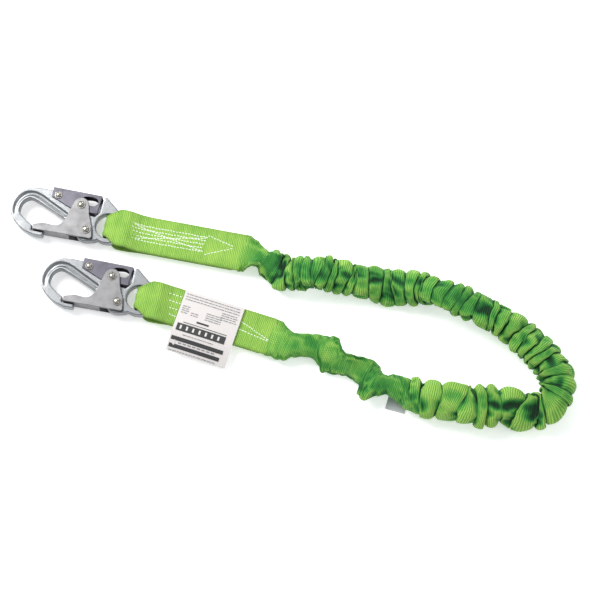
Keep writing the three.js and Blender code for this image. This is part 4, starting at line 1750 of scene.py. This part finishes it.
class LANYARD_OT_stage(bpy.types.Operator):
    """Lay the floor, set the lights and place the camera"""

    bl_idname = "lanyard.stage"
    bl_label = "Stage"

    def execute(self, context):
        self.floor()
        self.sky(context.scene)
        self.light("key", (-1.15, 0.9, 1.5), 1.2, 46)
        self.light("fill", (1.3, -0.5, 1.5), 1.2, 5)
        self.light("rim", (0.5, 1.8, 0.9), 0.7, 10)
        self.camera(context.scene)
        context.scene.view_settings.view_transform = "Standard"
        context.scene.view_settings.look = "None"
        return {"FINISHED"}

    def floor(self):
        """White paper that glows a little, so that shadows stay faint."""
        deselect()
        bpy.ops.mesh.primitive_plane_add(size=14, location=(0, 0, -0.0004))
        floor = named("studio_floor")
        bpy.ops.object.transform_apply()
        paper, nodes, shader = new_material("Studio_paper")
        place = nodes.add("ShaderNodeTexCoord").outputs["Object"]
        tone = nodes.mix(nodes.noise(place, 2.0), tuple(0.99 * c for c in colours().floor),
                         tuple(colours().floor))
        nodes.feed(tone, shader.inputs["Base Color"])
        shader.inputs["Roughness"].default_value = 0.9
        shader.inputs["Specular IOR Level"].default_value = 0.1
        shader.inputs["Emission Color"].default_value = (1.0, 1.0, 1.0, 1.0)
        shader.inputs["Emission Strength"].default_value = 0.42
        floor.data.materials.append(paper)

    def sky(self, scene):
        """An even sky, lighter overhead."""
        world = bpy.data.worlds.new("Studio")
        scene.world = world
        world.use_nodes = True
        background = world.node_tree.nodes["Background"]
        sky = Nodes(world.node_tree)
        split = sky.add("ShaderNodeSeparateXYZ")
        sky.feed(sky.add("ShaderNodeTexCoord").outputs["Generated"], split.inputs[0])
        height = sky.remap(split.outputs[2], 0.0, 0.95)
        tone = sky.mix(height, (0.34, 0.36, 0.39), (0.62, 0.64, 0.66))
        sky.feed(tone, background.inputs["Color"])
        background.inputs["Strength"].default_value = 0.95

    def light(self, name, place, size, power):
        deselect()
        bpy.ops.object.light_add(type="AREA", location=place)
        lamp = bpy.context.object
        lamp.name = name
        lamp.data.size = size
        lamp.data.energy = power
        lamp.rotation_euler = Vector(place).to_track_quat("Z", "Y").to_euler()

    def camera(self, scene):
        target = Vector((0.0057, 0.0154, 0.012))
        elevation, distance = math.radians(71.8), 2.33
        place = target + Vector((0, -math.cos(elevation), math.sin(elevation))) * distance
        deselect()
        bpy.ops.object.camera_add(location=place)
        camera = bpy.context.object
        camera.data.lens = 120
        camera.data.sensor_width = 36
        camera.rotation_euler = (place - target).to_track_quat("Z", "Y").to_euler()
        scene.camera = camera


# ------------------------------------------------------------------ add-on

OPERATORS = (
    LANYARD_OT_stage, LANYARD_OT_finishes, LANYARD_OT_hook_bodies, LANYARD_OT_gates,
    LANYARD_OT_levers, LANYARD_OT_rivets, LANYARD_OT_springs, LANYARD_OT_webbing_ends,
    LANYARD_OT_stitching, LANYARD_OT_sleeve, LANYARD_OT_core, LANYARD_OT_label, LANYARD_OT_tag,
)


class LANYARD_PT_panel(bpy.types.Panel):
    """Lists the lanyard's sizes, colours and steps"""

    bl_idname = "LANYARD_PT_panel"
    bl_label = "Lanyard"
    bl_space_type = "VIEW_3D"
    bl_region_type = "UI"
    bl_category = "Lanyard"

    def draw(self, context):
        layout = self.layout
        for group_name in ("lanyard_sizes", "lanyard_colours"):
            settings = getattr(context.scene, group_name)
            for key in settings.__annotations__:
                layout.prop(settings, key)
        for operator in OPERATORS:
            layout.operator(operator.bl_idname)


CLASSES = (LanyardSizes, LanyardColours, *OPERATORS, LANYARD_PT_panel)


def register():
    for cls in CLASSES:
        bpy.utils.register_class(cls)
    bpy.types.Scene.lanyard_sizes = PointerProperty(type=LanyardSizes)
    bpy.types.Scene.lanyard_colours = PointerProperty(type=LanyardColours)


def unregister():
    del bpy.types.Scene.lanyard_colours
    del bpy.types.Scene.lanyard_sizes
    for cls in reversed(CLASSES):
        bpy.utils.unregister_class(cls)


def main():
    register()
    for operator in OPERATORS:
        category, name = operator.bl_idname.split(".")
        getattr(getattr(bpy.ops, category), name)()


if __name__ == "__main__":
    main()
